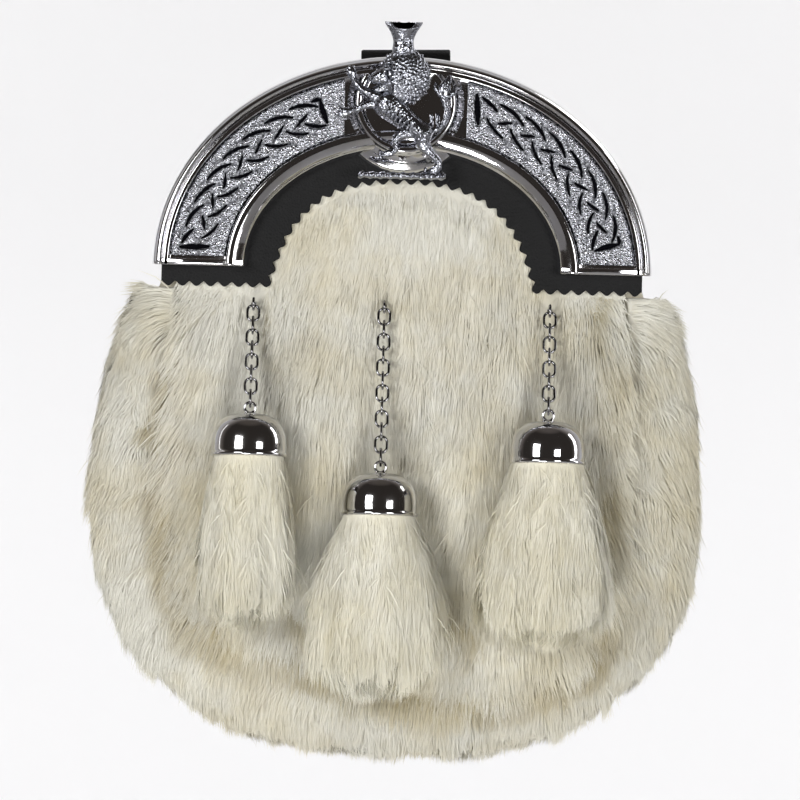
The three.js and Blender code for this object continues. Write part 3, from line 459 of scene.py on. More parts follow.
PELT = fur_material("rabbit_pelt", linear(178, 164, 120), linear(240, 238, 226), linear(240, 230, 202))
TASSEL_HAIR = fur_material("tassel_hair", linear(210, 202, 176), linear(244, 241, 226), linear(243, 237, 216))
print("fur:", PELT.name, TASSEL_HAIR.name)

# %% [markdown]
# ## Camera, floor and light
# The photo looks at the sporran almost straight on, from a little above, and the sporran is turned about a
# degree and a half, so the camera is rolled instead. One pixel of the photo is 0.333 mm at the fur. The floor
# and the backdrop are one pale sheet, far enough away that no shadow shows. Three small softboxes with
# grids stand in front: a key on the left, a fill on the right and a low fill under them. They light the fur
# flatly and leave the rest of the space in front dark, which is what gives chrome its black reflections. A
# strip at either side draws thin white lines on its edges, a lamp behind lights the back, and two lamps by
# the wall make the backdrop white.

# %% Camera
PICTURE, PIXEL = 800, 0.333
LENS, SENSOR = 300.0, 36.0
ROLL = math.radians(1.4)
RISE = math.radians(1.5)
target = Vector(place(0.4, -24.0, -43.3))
distance = PICTURE * PIXEL * MM * LENS / SENSOR
camera_data = bpy.data.cameras.new("camera")
camera_data.lens = LENS
camera = bpy.data.objects.new("camera", camera_data)
bpy.context.scene.collection.objects.link(camera)
camera.location = target + Vector((0, -math.cos(RISE), math.sin(RISE))) * distance
camera.rotation_euler = (math.pi / 2 - RISE, 0, 0)
camera.rotation_euler.rotate_axis("Z", ROLL)
bpy.context.scene.camera = camera
print("camera", round(distance, 3), "m from the fur")

# %% Floor, backdrop and softboxes
FLOOR_Z = cad_low[2] - 0.6
WALL_Y = 3.0


def backdrop():
    """One sheet: flat floor, a quarter circle, then a wall, carried sideways. The floor lies well below the
    sporran, so that the chrome mirrors little of it, and a camera fits between the sporran and the wall."""
    start_y, radius = -3.0, 0.8
    turn = np.linspace(0, math.pi / 2, 24)
    y = np.concatenate([[start_y], WALL_Y - radius + radius * np.sin(turn), [WALL_Y]])
    z = np.concatenate([[0], radius - radius * np.cos(turn), [3.0]]) + FLOOR_Z
    x = np.array([-3.0, 3.0])
    points = np.stack(np.broadcast_arrays(x[None, :], y[:, None], z[:, None]), axis=-1)
    mesh = bpy.data.meshes.new("backdrop")
    fill(mesh, points.reshape(-1, 3), [net(len(y), 2)])
    sheet = bpy.data.objects.new("backdrop", mesh)
    bpy.context.scene.collection.objects.link(sheet)
    paper, _, _ = new_material("pale_paper", Base_Color=(0.93, 0.93, 0.94, 1), Roughness=0.9,
                               Specular_IOR_Level=0.1)
    mesh.materials.append(paper)
    sheet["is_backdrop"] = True


def softbox(name, where, aim, width, height, power, spread=180):
    """A rectangle of light that faces its aim. A spread under 180 degrees narrows it, as a grid does."""
    lamp = bpy.data.lights.new(name, "AREA")
    lamp.shape = "RECTANGLE"
    lamp.size, lamp.size_y, lamp.energy, lamp.spread = width, height, power, math.radians(spread)
    holder = bpy.data.objects.new(name, lamp)
    bpy.context.scene.collection.objects.link(holder)
    holder.location = where
    holder.rotation_euler = (Vector(aim) - Vector(where)).to_track_quat("-Z", "Y").to_euler()


backdrop()
softbox("key", (-0.58, -0.9, 0.12), target, 0.38, 0.38, 1.2, 90)
softbox("fill", (0.55, -0.95, -0.1), target, 0.34, 0.42, 0.98, 90)
softbox("low_fill", (-0.15, -0.7, -0.72), target, 0.3, 0.14, 0.8, 90)
softbox("right_edge", (0.9, 0.05, 0.1), target, 0.14, 1.0, 2.2)
softbox("left_edge", (-0.9, 0.15, 0.1), target, 0.04, 1.0, 0.25)
softbox("back", (0.9, 1.2, 0.9), target, 0.5, 0.5, 1.2, 90)
for side, name in ((-1, "wall_left"), (1, "wall_right")):
    softbox(name, (side * 2.4, 2.0, 0.9), (0, WALL_Y, 0), 1.2, 1.2, 16.8, 85)


def sky():
    """Grey behind, fading at the sides to a warm near black in front, with a little light from above."""
    world = bpy.data.worlds.new("studio")
    bpy.context.scene.world = world
    world.use_nodes = True
    tree = world.node_tree
    way = node(tree, "TexCoord").outputs["Generated"]
    split = node(tree, "SeparateXYZ", _0=way)
    behind = ranged(tree, split.outputs["Y"], (-0.2, 0.75), kind="SMOOTHSTEP")
    above = ranged(tree, split.outputs["Z"], (0.75, 1.0), (0.0, 0.1), "SMOOTHSTEP")
    lit = math_node(tree, "ADD", math_node(tree, "MULTIPLY", behind, 0.6), 0.035)
    strength = math_node(tree, "MAXIMUM", lit, above)
    tree.links.new(strength, tree.nodes["Background"].inputs["Strength"])
    tint = colour_mix(tree, behind, (1, 0.86, 0.76, 1), (0.98, 0.99, 1, 1))
    tree.links.new(tint, tree.nodes["Background"].inputs["Color"])


sky()
bpy.context.scene.view_settings.view_transform = "Standard"
print("floor at", round(FLOOR_Z, 3))

# %% [markdown]
# ## The cantle
# The cantle is one chrome-plated casting: a band between two ellipses, with a rolled outer rim, a groove, a
# sunk seat for the plaques and a quarter round inside. It is a section carried along the half ellipse. The
# section is a short table of (share across the band, rise above the seat), its corners rounded, because
# chrome shows its shape by the thin highlights on its edges.

# %% Cantle sizes and section
INNER_HALF_WIDTH, INNER_HEIGHT = 51.5, 39.5
BAND_WIDTH, BAND_HEIGHT = 31.5, 31.4
FACING_FRONT = -24.6
SEAT = FACING_FRONT - 3.4
EDGE_RISE = SEAT - (FACING_FRONT - 0.3)
REAR_RISE = SEAT + 1.5
ROUNDEL_Z, ROUNDEL_LIMIT = 55.6, 0.84
ROUNDEL_SECTION = [
    # radius, rise
    (0, 2.4), (14.0, 2.4), (14.8, 3.6), (16.4, 3.6), (17.4, 1.6), (19.6, -0.2), (22.6, -1.2),
    (24.0, EDGE_RISE), (22.4, EDGE_RISE), (21.0, -1.6), (0, -1.6),
]
RIM_SECTION = [
    # share, rise
    (1.0, REAR_RISE), (1.0, -2.5), (0.985, 1.2), (0.96, 3.1), (0.932, 3.7), (0.905, 3.1), (0.892, 2.1),
    (0.884, 1.9), (0.88, 2.5), (0.83, 2.5), (0.822, 0.0), (0.232, 0.0), (0.226, 2.4), (0.2, 2.9),
    (0.15, 2.8), (0.09, 2.0), (0.04, 0.5), (0.0, EDGE_RISE + 0.5), (0.0, EDGE_RISE), (0.055, EDGE_RISE),
    (0.08, -1.6), (0.93, -1.6), (0.945, REAR_RISE),
]


def band(angle, share):
    """A place on the cantle: half width times cosine and height times sine, both growing with the share."""
    x = (INNER_HALF_WIDTH + BAND_WIDTH * share) * np.cos(angle)
    return x, (INNER_HEIGHT + BAND_HEIGHT * share) * np.sin(angle)


def cantle_band(steps=168):
    """The rounded section at each angle from foot to foot, closed by a flat face at either end."""
    section = rounded(np.array(RIM_SECTION) * (BAND_WIDTH, 1), 0.35, 3)
    angle = np.linspace(0, math.pi, steps)[:, None]
    x, z = band(angle, section[None, :, 0] / BAND_WIDTH)
    points = place(x, SEAT - section[None, :, 1], z)
    around = len(section)
    ends = np.stack([np.arange(around)[::-1], np.arange(around) + (steps - 1) * around])
    return points.reshape(-1, 3), [net(steps, around, around=True), ends]


def roundel(sides=120):
    """A disc turned on the y axis, with a raised ring, cut short where it meets the outer rim."""
    profile = rounded(ROUNDEL_SECTION, 0.5, 4)
    profile[:, 0] = np.where(profile[:, 0] < 0.6, 0, profile[:, 0])
    angle = np.linspace(0, TURN, sides, endpoint=False)[:, None]
    radius = np.broadcast_to(profile[None, :, 0], (sides, len(profile)))
    half = INNER_HALF_WIDTH + BAND_WIDTH * ROUNDEL_LIMIT
    top = INNER_HEIGHT + BAND_HEIGHT * ROUNDEL_LIMIT
    middle = ROUNDEL_Z / top
    a = (np.cos(angle) / half) ** 2 + (np.sin(angle) / top) ** 2
    b = middle * np.sin(angle) / top
    reach = (-b + np.sqrt(b**2 + a * (1 - middle**2))) / a
    radius = np.minimum(radius, reach)
    points = place(radius * np.cos(angle), SEAT - profile[None, :, 1], ROUNDEL_Z + radius * np.sin(angle))
    return points.reshape(-1, 3), [net(sides + 1, len(profile)) % (sides * len(profile))]


def slab(low, high, soft=0.35):
    """A block with rounded edges: a closed outline in x and z, pulled in at its front and rear faces."""
    corners = [(low[0], low[2]), (high[0], low[2]), (high[0], high[2]), (low[0], high[2])]
    outline = rounded(corners, soft, 4)
    middle = outline.mean(0)
    steps = [(low[1], 0), (low[1], 0.97), (low[1] + soft, 1),
             (high[1] - soft, 1), (high[1], 0.97), (high[1], 0)]
    depth = np.array(steps)[:, :1]
    grown = middle + (outline - middle)[None] * np.array(steps)[:, 1][:, None, None]
    points = place(grown[..., 0], depth, grown[..., 1])
    return points.reshape(-1, 3), [net(len(steps), len(outline), around=True)]


FOOT = {"low": 52.6, "high": 81.6, "front": SEAT - 2.5, "rear": SEAT + 3.0, "thick": 2.2}
feet = [
    slab((min(side * FOOT["low"], side * FOOT["high"]), FOOT["front"], 0.1),
         (max(side * FOOT["low"], side * FOOT["high"]), FOOT["rear"], FOOT["thick"]))
    for side in (-1, 1)
]
points, faces = merged([cantle_band(), roundel(), *feet])
face_outwards(build("cantle_chrome", points, faces, CHROME, ["cantle"], "chrome"))

# %% [markdown]
# ## The knot plaques
# Each plaque is a cast strip with a four-strand plait and a granulated border, blackened in its hollows, and
# painted shade deepens that black in the gaps and along the strands' crossing edges. The strands are so thick
# that what the eye reads is the gaps: long slanted crescents in the two outer columns, short slits the other
# way in the middle one. A round strand carried along a woven route was tried first, and left the ground too
# open. So the casting is a height field instead, flat at the border's height, and sunk near each gap by its
# distance. The second plaque is the first turned round the arch, not its mirror image.

# %% Plaque sizes and gaps
PLAQUE = {"inner": 0.245, "outer": 0.805, "foot_z": 3.2, "end_x": 20.4, "base": 1.1, "relief": 0.95}
PLAQUE_REAR = SEAT - 0.3
PITCH = 0.1085
STROKES = [
    # how many, half width in mm, then places as (along, across)
    (7, 0.44, [(0.129, 0.815), (0.185, 0.775), (0.240, 0.650)]),
    (7, 0.36, [(0.137, 0.470), (0.165, 0.525), (0.192, 0.590)]),
    (7, 0.36, [(0.086, 0.480), (0.122, 0.340), (0.175, 0.255)]),
    (1, 0.50, [(0.057, 0.820), (0.085, 0.770), (0.122, 0.670)]),
    (1, 0.80, [(0.036, 0.840), (0.042, 0.580), (0.050, 0.320)]),
    (1, 0.50, [(0.870, 0.780), (0.890, 0.785), (0.906, 0.775)]),
    (1, 0.75, [(0.905, 0.740), (0.910, 0.540), (0.924, 0.310)]),
    (1, 0.45, [(0.826, 0.440), (0.870, 0.320), (0.915, 0.270)]),
]
CREASES = [
    # the edges of the strands where they cross, between the gaps
    (7, 0.16, [(0.088, 0.900), (0.108, 0.860), (0.129, 0.815)]),
    (7, 0.16, [(0.240, 0.650), (0.252, 0.600), (0.258, 0.540)]),
    (7, 0.16, [(0.105, 0.400), (0.121, 0.430), (0.137, 0.470)]),
    (7, 0.16, [(0.192, 0.590), (0.207, 0.640), (0.222, 0.700)]),
    (7, 0.16, [(0.175, 0.255), (0.196, 0.220), (0.215, 0.170)]),
    (7, 0.16, [(0.066, 0.560), (0.075, 0.520), (0.086, 0.480)]),
]


def on_plaque(along, across):
    """A place on the right plaque: an angle between its foot and its end, at a share between its edges."""
    share = mix(PLAQUE["inner"], PLAQUE["outer"], across)
    first = np.arcsin(PLAQUE["foot_z"] / (INNER_HEIGHT + BAND_HEIGHT * share))
    last = np.arccos(PLAQUE["end_x"] / (INNER_HALF_WIDTH + BAND_WIDTH * share))
    return band(mix(first, last, along), share)


def zigzag(t):
    """A wave of straight lines: 1 at whole numbers and -1 half way between them."""
    return 1 - 4 * np.abs(t - np.round(t))


def stroke_line(places, turned_round):
    """A bent line in millimetres through places on the plaque, from the parabola through its three places."""
    first, middle, last = np.asarray(places, float)
    t = np.linspace(0, 1, 9)[:, None]
    bent = first * (1 - t) * (1 - 2 * t) + middle * 4 * t * (1 - t) + last * t * (2 * t - 1)
    along = 1 - bent[:, 0] if turned_round else bent[:, 0]
    return np.stack(on_plaque(along, bent[:, 1]), axis=-1)


def distance_to(line, x, z):
    """The least distance from each place to a bent line, and how far along the line that is."""
    start, way = line[:-1], np.diff(line, axis=0)
    off_x, off_z = x[..., None] - start[:, 0], z[..., None] - start[:, 1]
    t = np.clip((off_x * way[:, 0] + off_z * way[:, 1]) / (way**2).sum(1), 0, 1)
    gap = np.hypot(off_x - t * way[:, 0], off_z - t * way[:, 1])
    nearest = gap.argmin(-1)[..., None]
    on_line = np.take_along_axis(t, nearest, -1)[..., 0] + nearest[..., 0]
    return np.take_along_axis(gap, nearest, -1)[..., 0], on_line / len(way)


def cut_by(table, x, z, turned_round):
    """Distance to the nearest edge of any stroke, each widest at its middle by a sine along its length."""
    least = np.full(x.shape, 9.0)
    for count, half, places in table:
        for k in range(count):
            moved = [(along + k * PITCH, across) for along, across in places]
            gap, share = distance_to(stroke_line(moved, turned_round), x, z)
            least = np.minimum(least, gap - half * (0.35 + 0.65 * np.sin(math.pi * share)))
    return least


def make_plaque(side, node_name, columns=400, rows=76):
    """One casting as a height field: a quarter circle down to each gap, and a soft dip at each crease."""
    across, along = np.meshgrid(np.linspace(0, 1, rows), np.linspace(0, 1, columns), indexing="ij")
    x, z = on_plaque(along, across)
    from_gap = cut_by(STROKES, x, z, side > 0)
    from_crease = cut_by(CREASES, x, z, side > 0)
    into_gap = 1 - np.sqrt(np.clip(1 - (1 - np.clip(from_gap / 1.25, 0, 1)) ** 2, 0, 1))
    into_crease = 0.46 * np.exp(-((np.clip(from_crease, 0, None) / 0.45) ** 2))
    sunk = np.clip(np.maximum(into_gap, into_crease), 0, 1)
    border = np.minimum(np.minimum(across, 1 - across) * 17.6, np.minimum(along, 1 - along) * 68.0)
    edge = 0.45 * (1 - np.clip(border / 0.5, 0, 1)) ** 2
    grains = ripple(x, z, 1.1, 11, 16) * 0.055
    rise = PLAQUE["base"] + PLAQUE["relief"] * (1 - sunk) + grains * (1 - sunk) - edge
    front = np.stack([x, PLAQUE_REAR - rise, z], axis=-1)
    rear = np.stack([x, np.full_like(x, PLAQUE_REAR), z], axis=-1)
    points, faces = flat_backed(front, rear)
    # The hollow map: the patina's black in the gaps and creases, deepened there by painted shade, and lighter
    # on the raised grains.
    dark = np.clip(0.57 + 0.46 * sunk**1.7 - 1.1 * grains, 0, 1)
    maps = {"hollow": np.concatenate([dark.ravel(), np.full(len(points) - dark.size, 0.6)])}
    points = points * (side, 1, 1)
    face_outwards(build(node_name + "_silver", points, faces, GRANULATED, [node_name], "silver", maps))


make_plaque(1, "knot_plaque_right")
make_plaque(-1, "knot_plaque_left")

# %% [markdown]
# ## The badge
# The badge is a cast lion standing on a twisted wreath. Its maker would have modelled it in wax by adding
# rolls: a trunk, limbs and a tail, a round mane pressed all over in small grains, and a flared cup for the
# crown. The same is done here. Each roll is a smooth curve of rings, all of them are melted into one skin by
# a voxel remesh, and the hollows are measured afterwards so that the black of the patina settles in them.

# %% Lion, crown and wreath
BADGE_REAR = SEAT - 3.9
LIMBS = {
    # x, z, half width, half depth, lift
    "trunk": [(-9, 58, 3, 2, 2), (-6.2, 55.4, 4.7, 3.2, 2.4), (-1.4, 51.2, 3.8, 2.9, 2.4),
              (3, 47.8, 3.1, 2.6, 2.4), (6.2, 45.2, 3.8, 3.1, 2.4), (8.4, 43.4, 2.3, 2, 2)],
    "muzzle": [(-6, 64.4, 3.4, 3.2, 3.4), (-8.9, 63.8, 2.7, 2.6, 3.0), (-11.2, 63.0, 1.8, 1.9, 2.6),
               (-12.2, 62.8, 1.1, 1.2, 2.2)],
    "jaw": [(-6, 60.8, 2.1, 2, 2.4), (-9.2, 59.7, 1.2, 1.4, 2.1), (-11.0, 59.3, 0.7, 0.8, 1.9)],
    "upper_foreleg": [(-7, 56.5, 2.2, 2, 2.4), (-12.2, 58.2, 1.6, 1.7, 2), (-15.6, 60.4, 1.3, 1.5, 1.6),
                      (-17.6, 63.2, 1.1, 1.3, 1.4), (-18.3, 65.2, 1.7, 1.5, 1.4),
                      (-18.7, 66.6, 1.1, 1.0, 1.2)],
    "lower_foreleg": [(-6, 55.2, 2.2, 2, 2.2), (-11.4, 55.0, 1.5, 1.6, 1.8), (-16.4, 53.0, 1.1, 1.4, 1.4),
                      (-20.2, 51.9, 1.7, 1.5, 1.2), (-21.6, 52.2, 1.1, 1.0, 1.0)],
    "standing_leg": [(6, 46.6, 3.3, 3, 2.6), (5.8, 42.4, 2.6, 2.6, 2.4), (8.2, 39.2, 1.6, 1.8, 2),
                     (11.2, 36.0, 1.3, 1.6, 1.8), (10.6, 33.6, 1.6, 1.5, 1.6), (7.8, 32.7, 1.1, 1.1, 1.4)],
    "raised_leg": [(5, 46, 2.5, 2.2, 2.2), (-0.4, 45.4, 2.0, 2, 2), (-3.2, 43.0, 1.2, 1.5, 1.6),
                   (-2.8, 40.2, 1.0, 1.3, 1.4), (-5.2, 38.6, 1.3, 1.3, 1.2), (-7.8, 38.4, 0.9, 0.9, 1)],
    "tail": [(8, 45.6, 1.0, 1.2, 1.4), (12.0, 48.0, 0.8, 1.1, 1.4), (13.6, 52.6, 0.8, 1.1, 1.4),
             (12.4, 56.6, 1.0, 1.1, 1.4), (12.4, 60.0, 1.9, 1.3, 1.4), (13.8, 63.2, 1.2, 1, 1.2),
             (14.6, 65.4, 0.3, 0.4, 1)],
    "tail_lock_left": [(12.2, 57.4, 0.9, 1.0, 1.4), (10.0, 60.2, 0.9, 0.9, 1.4), (9.6, 62.6, 0.25, 0.3, 1.1)],
    "tail_lock_right": [(12.6, 57.6, 0.9, 1.0, 1.4), (15.4, 59.0, 0.9, 0.9, 1.4),
                        (16.4, 61.2, 0.25, 0.3, 1.1)],
    "tail_bar_1": [(8.4, 47.8, 0.5, 0.8, 1.4), (8.4, 52.0, 0.6, 0.9, 1.4)],
    "tail_bar_2": [(10.4, 48.0, 0.5, 0.8, 1.4), (10.4, 52.4, 0.6, 0.9, 1.4)],
    "ear": [(-4.6, 68.4, 1.2, 1.2, 4.6), (-3.4, 70.4, 0.5, 0.6, 4.4)],
    "brow": [(-7.4, 66.4, 0.8, 0.8, 6.0), (-5.2, 66.9, 0.7, 0.7, 5.8)],
}
MANE = {"x": -0.7, "z": 64.2, "wide": 8.6, "high": 9.3, "grains": 190, "grain": 0.66}
CROWN = {"x": -1.35, "lip": 2.3, "flat": 0.7}
GOLDEN_ANGLE = 2.39996


def roll(rows, steps=20, sides=14):
    """Rings along a curve: across it by the cosine, off the back plate by the sine, pointed at each end."""
    x, z, wide, deep, lift = through(rows, steps).T
    way = np.stack([np.gradient(x), np.gradient(z)])
    way /= np.linalg.norm(way, axis=0)
    cap = np.clip(np.minimum(np.arange(steps), np.arange(steps)[::-1]) / 1.6, 0, 1) ** 0.5
    turn = np.linspace(0, TURN, sides, endpoint=False)[None, :]
    out = (np.maximum(wide, 0.2) * cap)[:, None] * np.cos(turn)
    up = lift[:, None] + (np.maximum(deep, 0.2) * cap)[:, None] * np.sin(turn)
    points = place(x[:, None] - way[1][:, None] * out, BADGE_REAR - up, z[:, None] + way[0][:, None] * out)
    return points.reshape(-1, 3), [net(steps, sides, around=True)]


def ball(x, y, z, wide, deep, high, sides=14):
    """An ellipsoid by its three half sizes: the sine and cosine of two angles."""
    a, b = np.meshgrid(np.linspace(0, TURN, sides, endpoint=False), np.linspace(0, math.pi, 9))
    points = place(x + wide * np.sin(b) * np.cos(a), y + deep * np.cos(b), z + high * np.sin(b) * np.sin(a))
    return points.reshape(-1, 3), [net(9, sides, around=True)]


def mane_grains():
    """Small round grains over a dome, spread by the golden angle, and none where the face lies."""
    k = np.arange(MANE["grains"])
    reach = np.sqrt((k + 0.5) / len(k))
    x = MANE["x"] + MANE["wide"] * reach * np.cos(GOLDEN_ANGLE * k)
    z = MANE["z"] + MANE["high"] * reach * np.sin(GOLDEN_ANGLE * k)
    high = 1.4 + 4.4 * np.sqrt(1 - reach**2)
    face = (x < -4.6) & (z > 58.5) & (z < 67.5)
    size = MANE["grain"]
    places = zip(x[~face], high[~face], z[~face])
    return [ball(a, BADGE_REAR - b, c, size, size, size, 10) for a, b, c in places]


def crown_cup(sides=44):
    """A flared cup turned about an upright line, with a thin lip that dips in front by the angle's sine."""
    profile = through([(0.1, 71.6), (3.5, 71.8), (3.4, 75.8), (4.3, 78.6), (5.7, 80.9),
                       (6.3, 82.0), (5.9, 82.1), (4.7, 80.0), (3.3, 78.4), (0.1, 77.8)], 40)
    turn = np.linspace(0, TURN, sides, endpoint=False)[:, None]
    radius, high = profile[None, :, 0], profile[None, :, 1]
    dip = CROWN["lip"] * np.clip(np.sin(turn), 0, 1) * np.clip((high - 76) / 6, 0, 1)
    y = BADGE_REAR - 2.9 - CROWN["flat"] * radius * np.sin(turn)
    points = place(CROWN["x"] + radius * np.cos(turn), y, high - dip)
    rows = profile.shape[0]
    ring = np.arange(sides) * rows
    ends = [ring[None, ::-1], ring[None, :] + rows - 1]
    return points.reshape(-1, 3), [net(sides + 1, rows) % (sides * rows), *ends]


def wreath_parts():
    """Slanted beads on a thin bar, like two silks twisted together."""
    bar = [(-15.0, 31.3, 1.0, 1.1, 1.5), (-0.8, 31.3, 1.0, 1.1, 1.5), (13.4, 31.3, 1.0, 1.1, 1.5)]
    parts = [roll(bar)]
    for x in np.linspace(-14.2, 12.6, 9):
        bead = [(x - 1.4, 30.4, 0.9, 1.0, 1.5), (x, 31.3, 1.1, 1.5, 1.7), (x + 1.4, 32.2, 0.9, 1.0, 1.5)]
        parts.append(roll(bead, steps=10))
    return parts


def hatching():
    """Six raised ribs slanted across the flank, each a thin roll bent with the body."""
    ribs = []
    for k in range(6):
        x, z = -5.6 + 1.32 * k, 52.4 - 0.92 * k
        rib = [(x - 0.9, z - 2.0, 0.36, 0.5, 4.3), (x, z, 0.44, 0.6, 5.4), (x + 0.9, z + 2.0, 0.36, 0.5, 4.6)]
        ribs.append(roll(rib, steps=9, sides=8))
    return ribs


def claws():
    """Three short toes at the end of each paw."""
    paws = [(-18.4, 65.2, (1.2, 1.9, 2.6)), (-20.4, 52.0, (2.5, 3.2, 3.9)), (-6.8, 38.4, (2.6, 3.3, 4.0)),
            (8.4, 32.9, (2.6, 3.2, 3.8))]
    toes = []
    for x, z, angles in paws:
        for angle in angles:
            c, d = math.cos(angle), math.sin(angle)
            toes.append(roll([(x + c, z + d, 0.7, 0.8, 1.6), (x + 1.8 * c, z + 1.8 * d, 0.55, 0.7, 1.4),
                              (x + 2.4 * c, z + 2.4 * d, 0.3, 0.4, 1.1)], steps=8, sides=8))
    return toes


def apply_all(piece):
    """The modifiers' result becomes the mesh, and the modifiers go."""
    evaluated = piece.evaluated_get(bpy.context.evaluated_depsgraph_get())
    mesh = bpy.data.meshes.new_from_object(evaluated)
    piece.modifiers.clear()
    old, piece.data = piece.data, mesh
    bpy.data.meshes.remove(old)


def make_badge():
    """All rolls melted together, then cut flat at the back so that the badge lies on the roundel's ring."""
    head = ball(MANE["x"], BADGE_REAR - 1.4, MANE["z"], MANE["wide"] - 0.1, 4.4, MANE["high"] - 0.1, 28)
    parts = [head, *(roll(rows) for rows in LIMBS.values()), *mane_grains(), crown_cup(), *wreath_parts(),
             *hatching(), *claws()]
    points, faces = merged(parts)
    badge = build("badge_lion", points, faces, CAST_SILVER, ["badge"], "silver")
    face_outwards(badge)
    melt = badge.modifiers.new("melt", "REMESH")
    melt.mode, melt.voxel_size, melt.use_smooth_shade = "VOXEL", 0.3 * MM, True
    apply_all(badge)
    mesh = badge.data
    spots = np.empty(len(mesh.vertices) * 3, np.float32)
    mesh.vertices.foreach_get("co", spots)
    spots = spots.reshape(-1, 3)
    spots[:, 1] = np.minimum(spots[:, 1], place(0, BADGE_REAR, 0)[1])
    mesh.vertices.foreach_set("co", spots.ravel())
    mesh.update()
    keep_hollows(badge, 7, 0.22)
    print("badge", len(mesh.polygons), "faces")


make_badge()

# %% [markdown]
# ## Black leather and the hide
# Under the cantle lies a piece of black leather whose edge is cut in small teeth. It is a flat plate, so its
# outline is drawn once and stepped inwards a little for its soft edge. Each of the two hides behind the fur
# is a wall between two grids. The back with its slot mouth and the hanger loop are plain leather too, and
# each is a section carried round in rings.

# %% Leather facing
FACING = {"half_width": 80.0, "height": 67.8, "thick": 1.6, "low": -5.4}
ARCH = {"half_width": 40.0, "flare": 5.0, "top": 30.0, "power": 2.5}
TOOTH = {"pitch": 4.7, "depth": 1.6}


def arch_line(count=400):
    """The fur's arch from its left foot over the top to its right: a superellipse that flares at its feet."""
    angle = np.linspace(math.pi, 0, count)
    power = 2 / ARCH["power"]
    c, rise = np.cos(angle), np.clip(np.sin(angle), 0, 1) ** power
    x = np.sign(c) * (ARCH["half_width"] * np.abs(c) ** power + ARCH["flare"] * (1 - rise) ** 2)
    return np.stack([x, FACING["low"] + (ARCH["top"] - FACING["low"]) * rise], axis=-1)


def toothed(line, pitch):
    """A line cut in teeth: pushed to its side by a triangle wave, with the points a little round."""
    step = np.linalg.norm(np.diff(line, axis=0), axis=1)
    along = np.concatenate([[0], np.cumsum(step)])
    count = max(1, round(along[-1] / pitch))
    t = np.linspace(0, 1, count * 12 + 1)
    spots = np.stack([np.interp(t * along[-1], along, line[:, k]) for k in (0, 1)], axis=-1)
    way = np.gradient(spots, axis=0)
    way /= np.linalg.norm(way, axis=1, keepdims=True)
    wave = 0.5 - 0.5 * zigzag(t * count)
    push = TOOTH["depth"] * np.sin(wave * math.pi / 2) ** 1.4
    return spots + np.stack([way[:, 1], -way[:, 0]], axis=-1) * push[:, None]


def facing_outline():
    """Round the top by an ellipse, then back along the lower edge and the arch in teeth."""
    angle = np.linspace(0, math.pi, 90)
    top = np.stack([FACING["half_width"] * np.cos(angle), FACING["height"] * np.sin(angle)], axis=-1)
    left, right = (-FACING["half_width"], FACING["low"]), (FACING["half_width"], FACING["low"])
    arch = arch_line()
    path = np.concatenate([np.linspace(left, arch[0], 60)[:-1], arch, np.linspace(arch[-1], right, 60)[1:]])
    return np.concatenate([top, toothed(path, TOOTH["pitch"])])


def flat_plate(outline, rear, thick, soft):
    """A plate with soft edges: rings of its outline, stepped in once at the rear and twice at the front."""
    back, on = np.roll(outline, 1, axis=0), np.roll(outline, -1, axis=0)
    way = on - back
    way /= np.linalg.norm(way, axis=1, keepdims=True) + 1e-9
    inwards = np.stack([-way[:, 1], way[:, 0]], axis=-1)
    steps = [(soft, 0.0), (0.0, soft), (0.0, thick - soft), (soft, thick), (soft * 1.6, thick)]
    rings = [np.insert(outline + inwards * by, 1, rear - rise, axis=1) for by, rise in steps]
    count = len(outline)
    last = (len(steps) - 1) * count
    ends = [np.arange(count)[::-1][None, :], (np.arange(count) + last)[None, :]]
    points = np.concatenate(rings)
    return place(*points.T), [net(len(steps), count, around=True), *ends]


facing = flat_plate(facing_outline(), FACING_FRONT + FACING["thick"], FACING["thick"], 0.28)
face_outwards(build("leather_facing_pinked", *facing, BLACK_LEATHER, ["leather_facing"], "black_leather"))

# %% Pouch outlines and walls
WIDEST_Z, HIDE_TOP, POWER, UPPER = -72.0, -1.0, 2.5, 0.3
PANEL_TOP = 34.0
OUTLINES = {
    # half width at the top, half width at the widest, lowest z
    "back_panel": (79.0, 91.0, -150.0), "hide_back": (76.0, 88.0, -147.0), "hide_bulge": (78.0, 94.0, -152.0),
    "hide_seam": (73.0, 75.0, -142.0), "fur_back": (80.0, 94.0, -153.0), "fur_bulge": (82.0, 100.0, -157.5),
    "fur_seam": (76.0, 76.0, -143.0),
}


def half_width_at(outline, z):
    """Half a pouch's width: an arch above the feet, a parabola down to its widest, a superellipse below."""
    top, wide, low = outline
    arch = top * np.sqrt(np.clip(1 - (z / 46) ** 2, 0, 1))
    upper = wide - (wide - top) * ((z - WIDEST_Z) / WIDEST_Z) ** 2
    share = np.clip((WIDEST_Z - z) / (WIDEST_Z - low), 0, 1)
    lower = wide * (1 - share**POWER) ** (1 / POWER)
    return np.where(z > 0, arch, np.where(z > WIDEST_Z, upper, lower))


def round_pouch(outline, turn, limit):
    """A point of the U round the pouch: turn is -1 at the left foot, 0 at the bottom, 1 at the right foot."""
    top, wide, low = outline
    down = 1 - np.abs(turn)
    high_z = np.minimum(limit, mix(HIDE_TOP, WIDEST_Z, down / UPPER))
    high_x = wide - (wide - top) * ((high_z - WIDEST_Z) / WIDEST_Z) ** 2
    angle = np.clip((down - UPPER) / (1 - UPPER), 0, 1) * math.pi / 2
    low_x = wide * np.clip(np.cos(angle), 0, 1) ** (2 / POWER)
    low_z = WIDEST_Z - (WIDEST_Z - low) * np.sin(angle) ** (2 / POWER)
    upper = down < UPPER
    return np.where(turn < 0, -1, 1) * np.where(upper, high_x, low_x), np.where(upper, high_z, low_z)


def depth_at(z):
    """Depth from the back to the front seam, growing by half a cosine wave below the feet."""
    return 18.4 + 6.0 * ease((-9.0 - z) / 100)


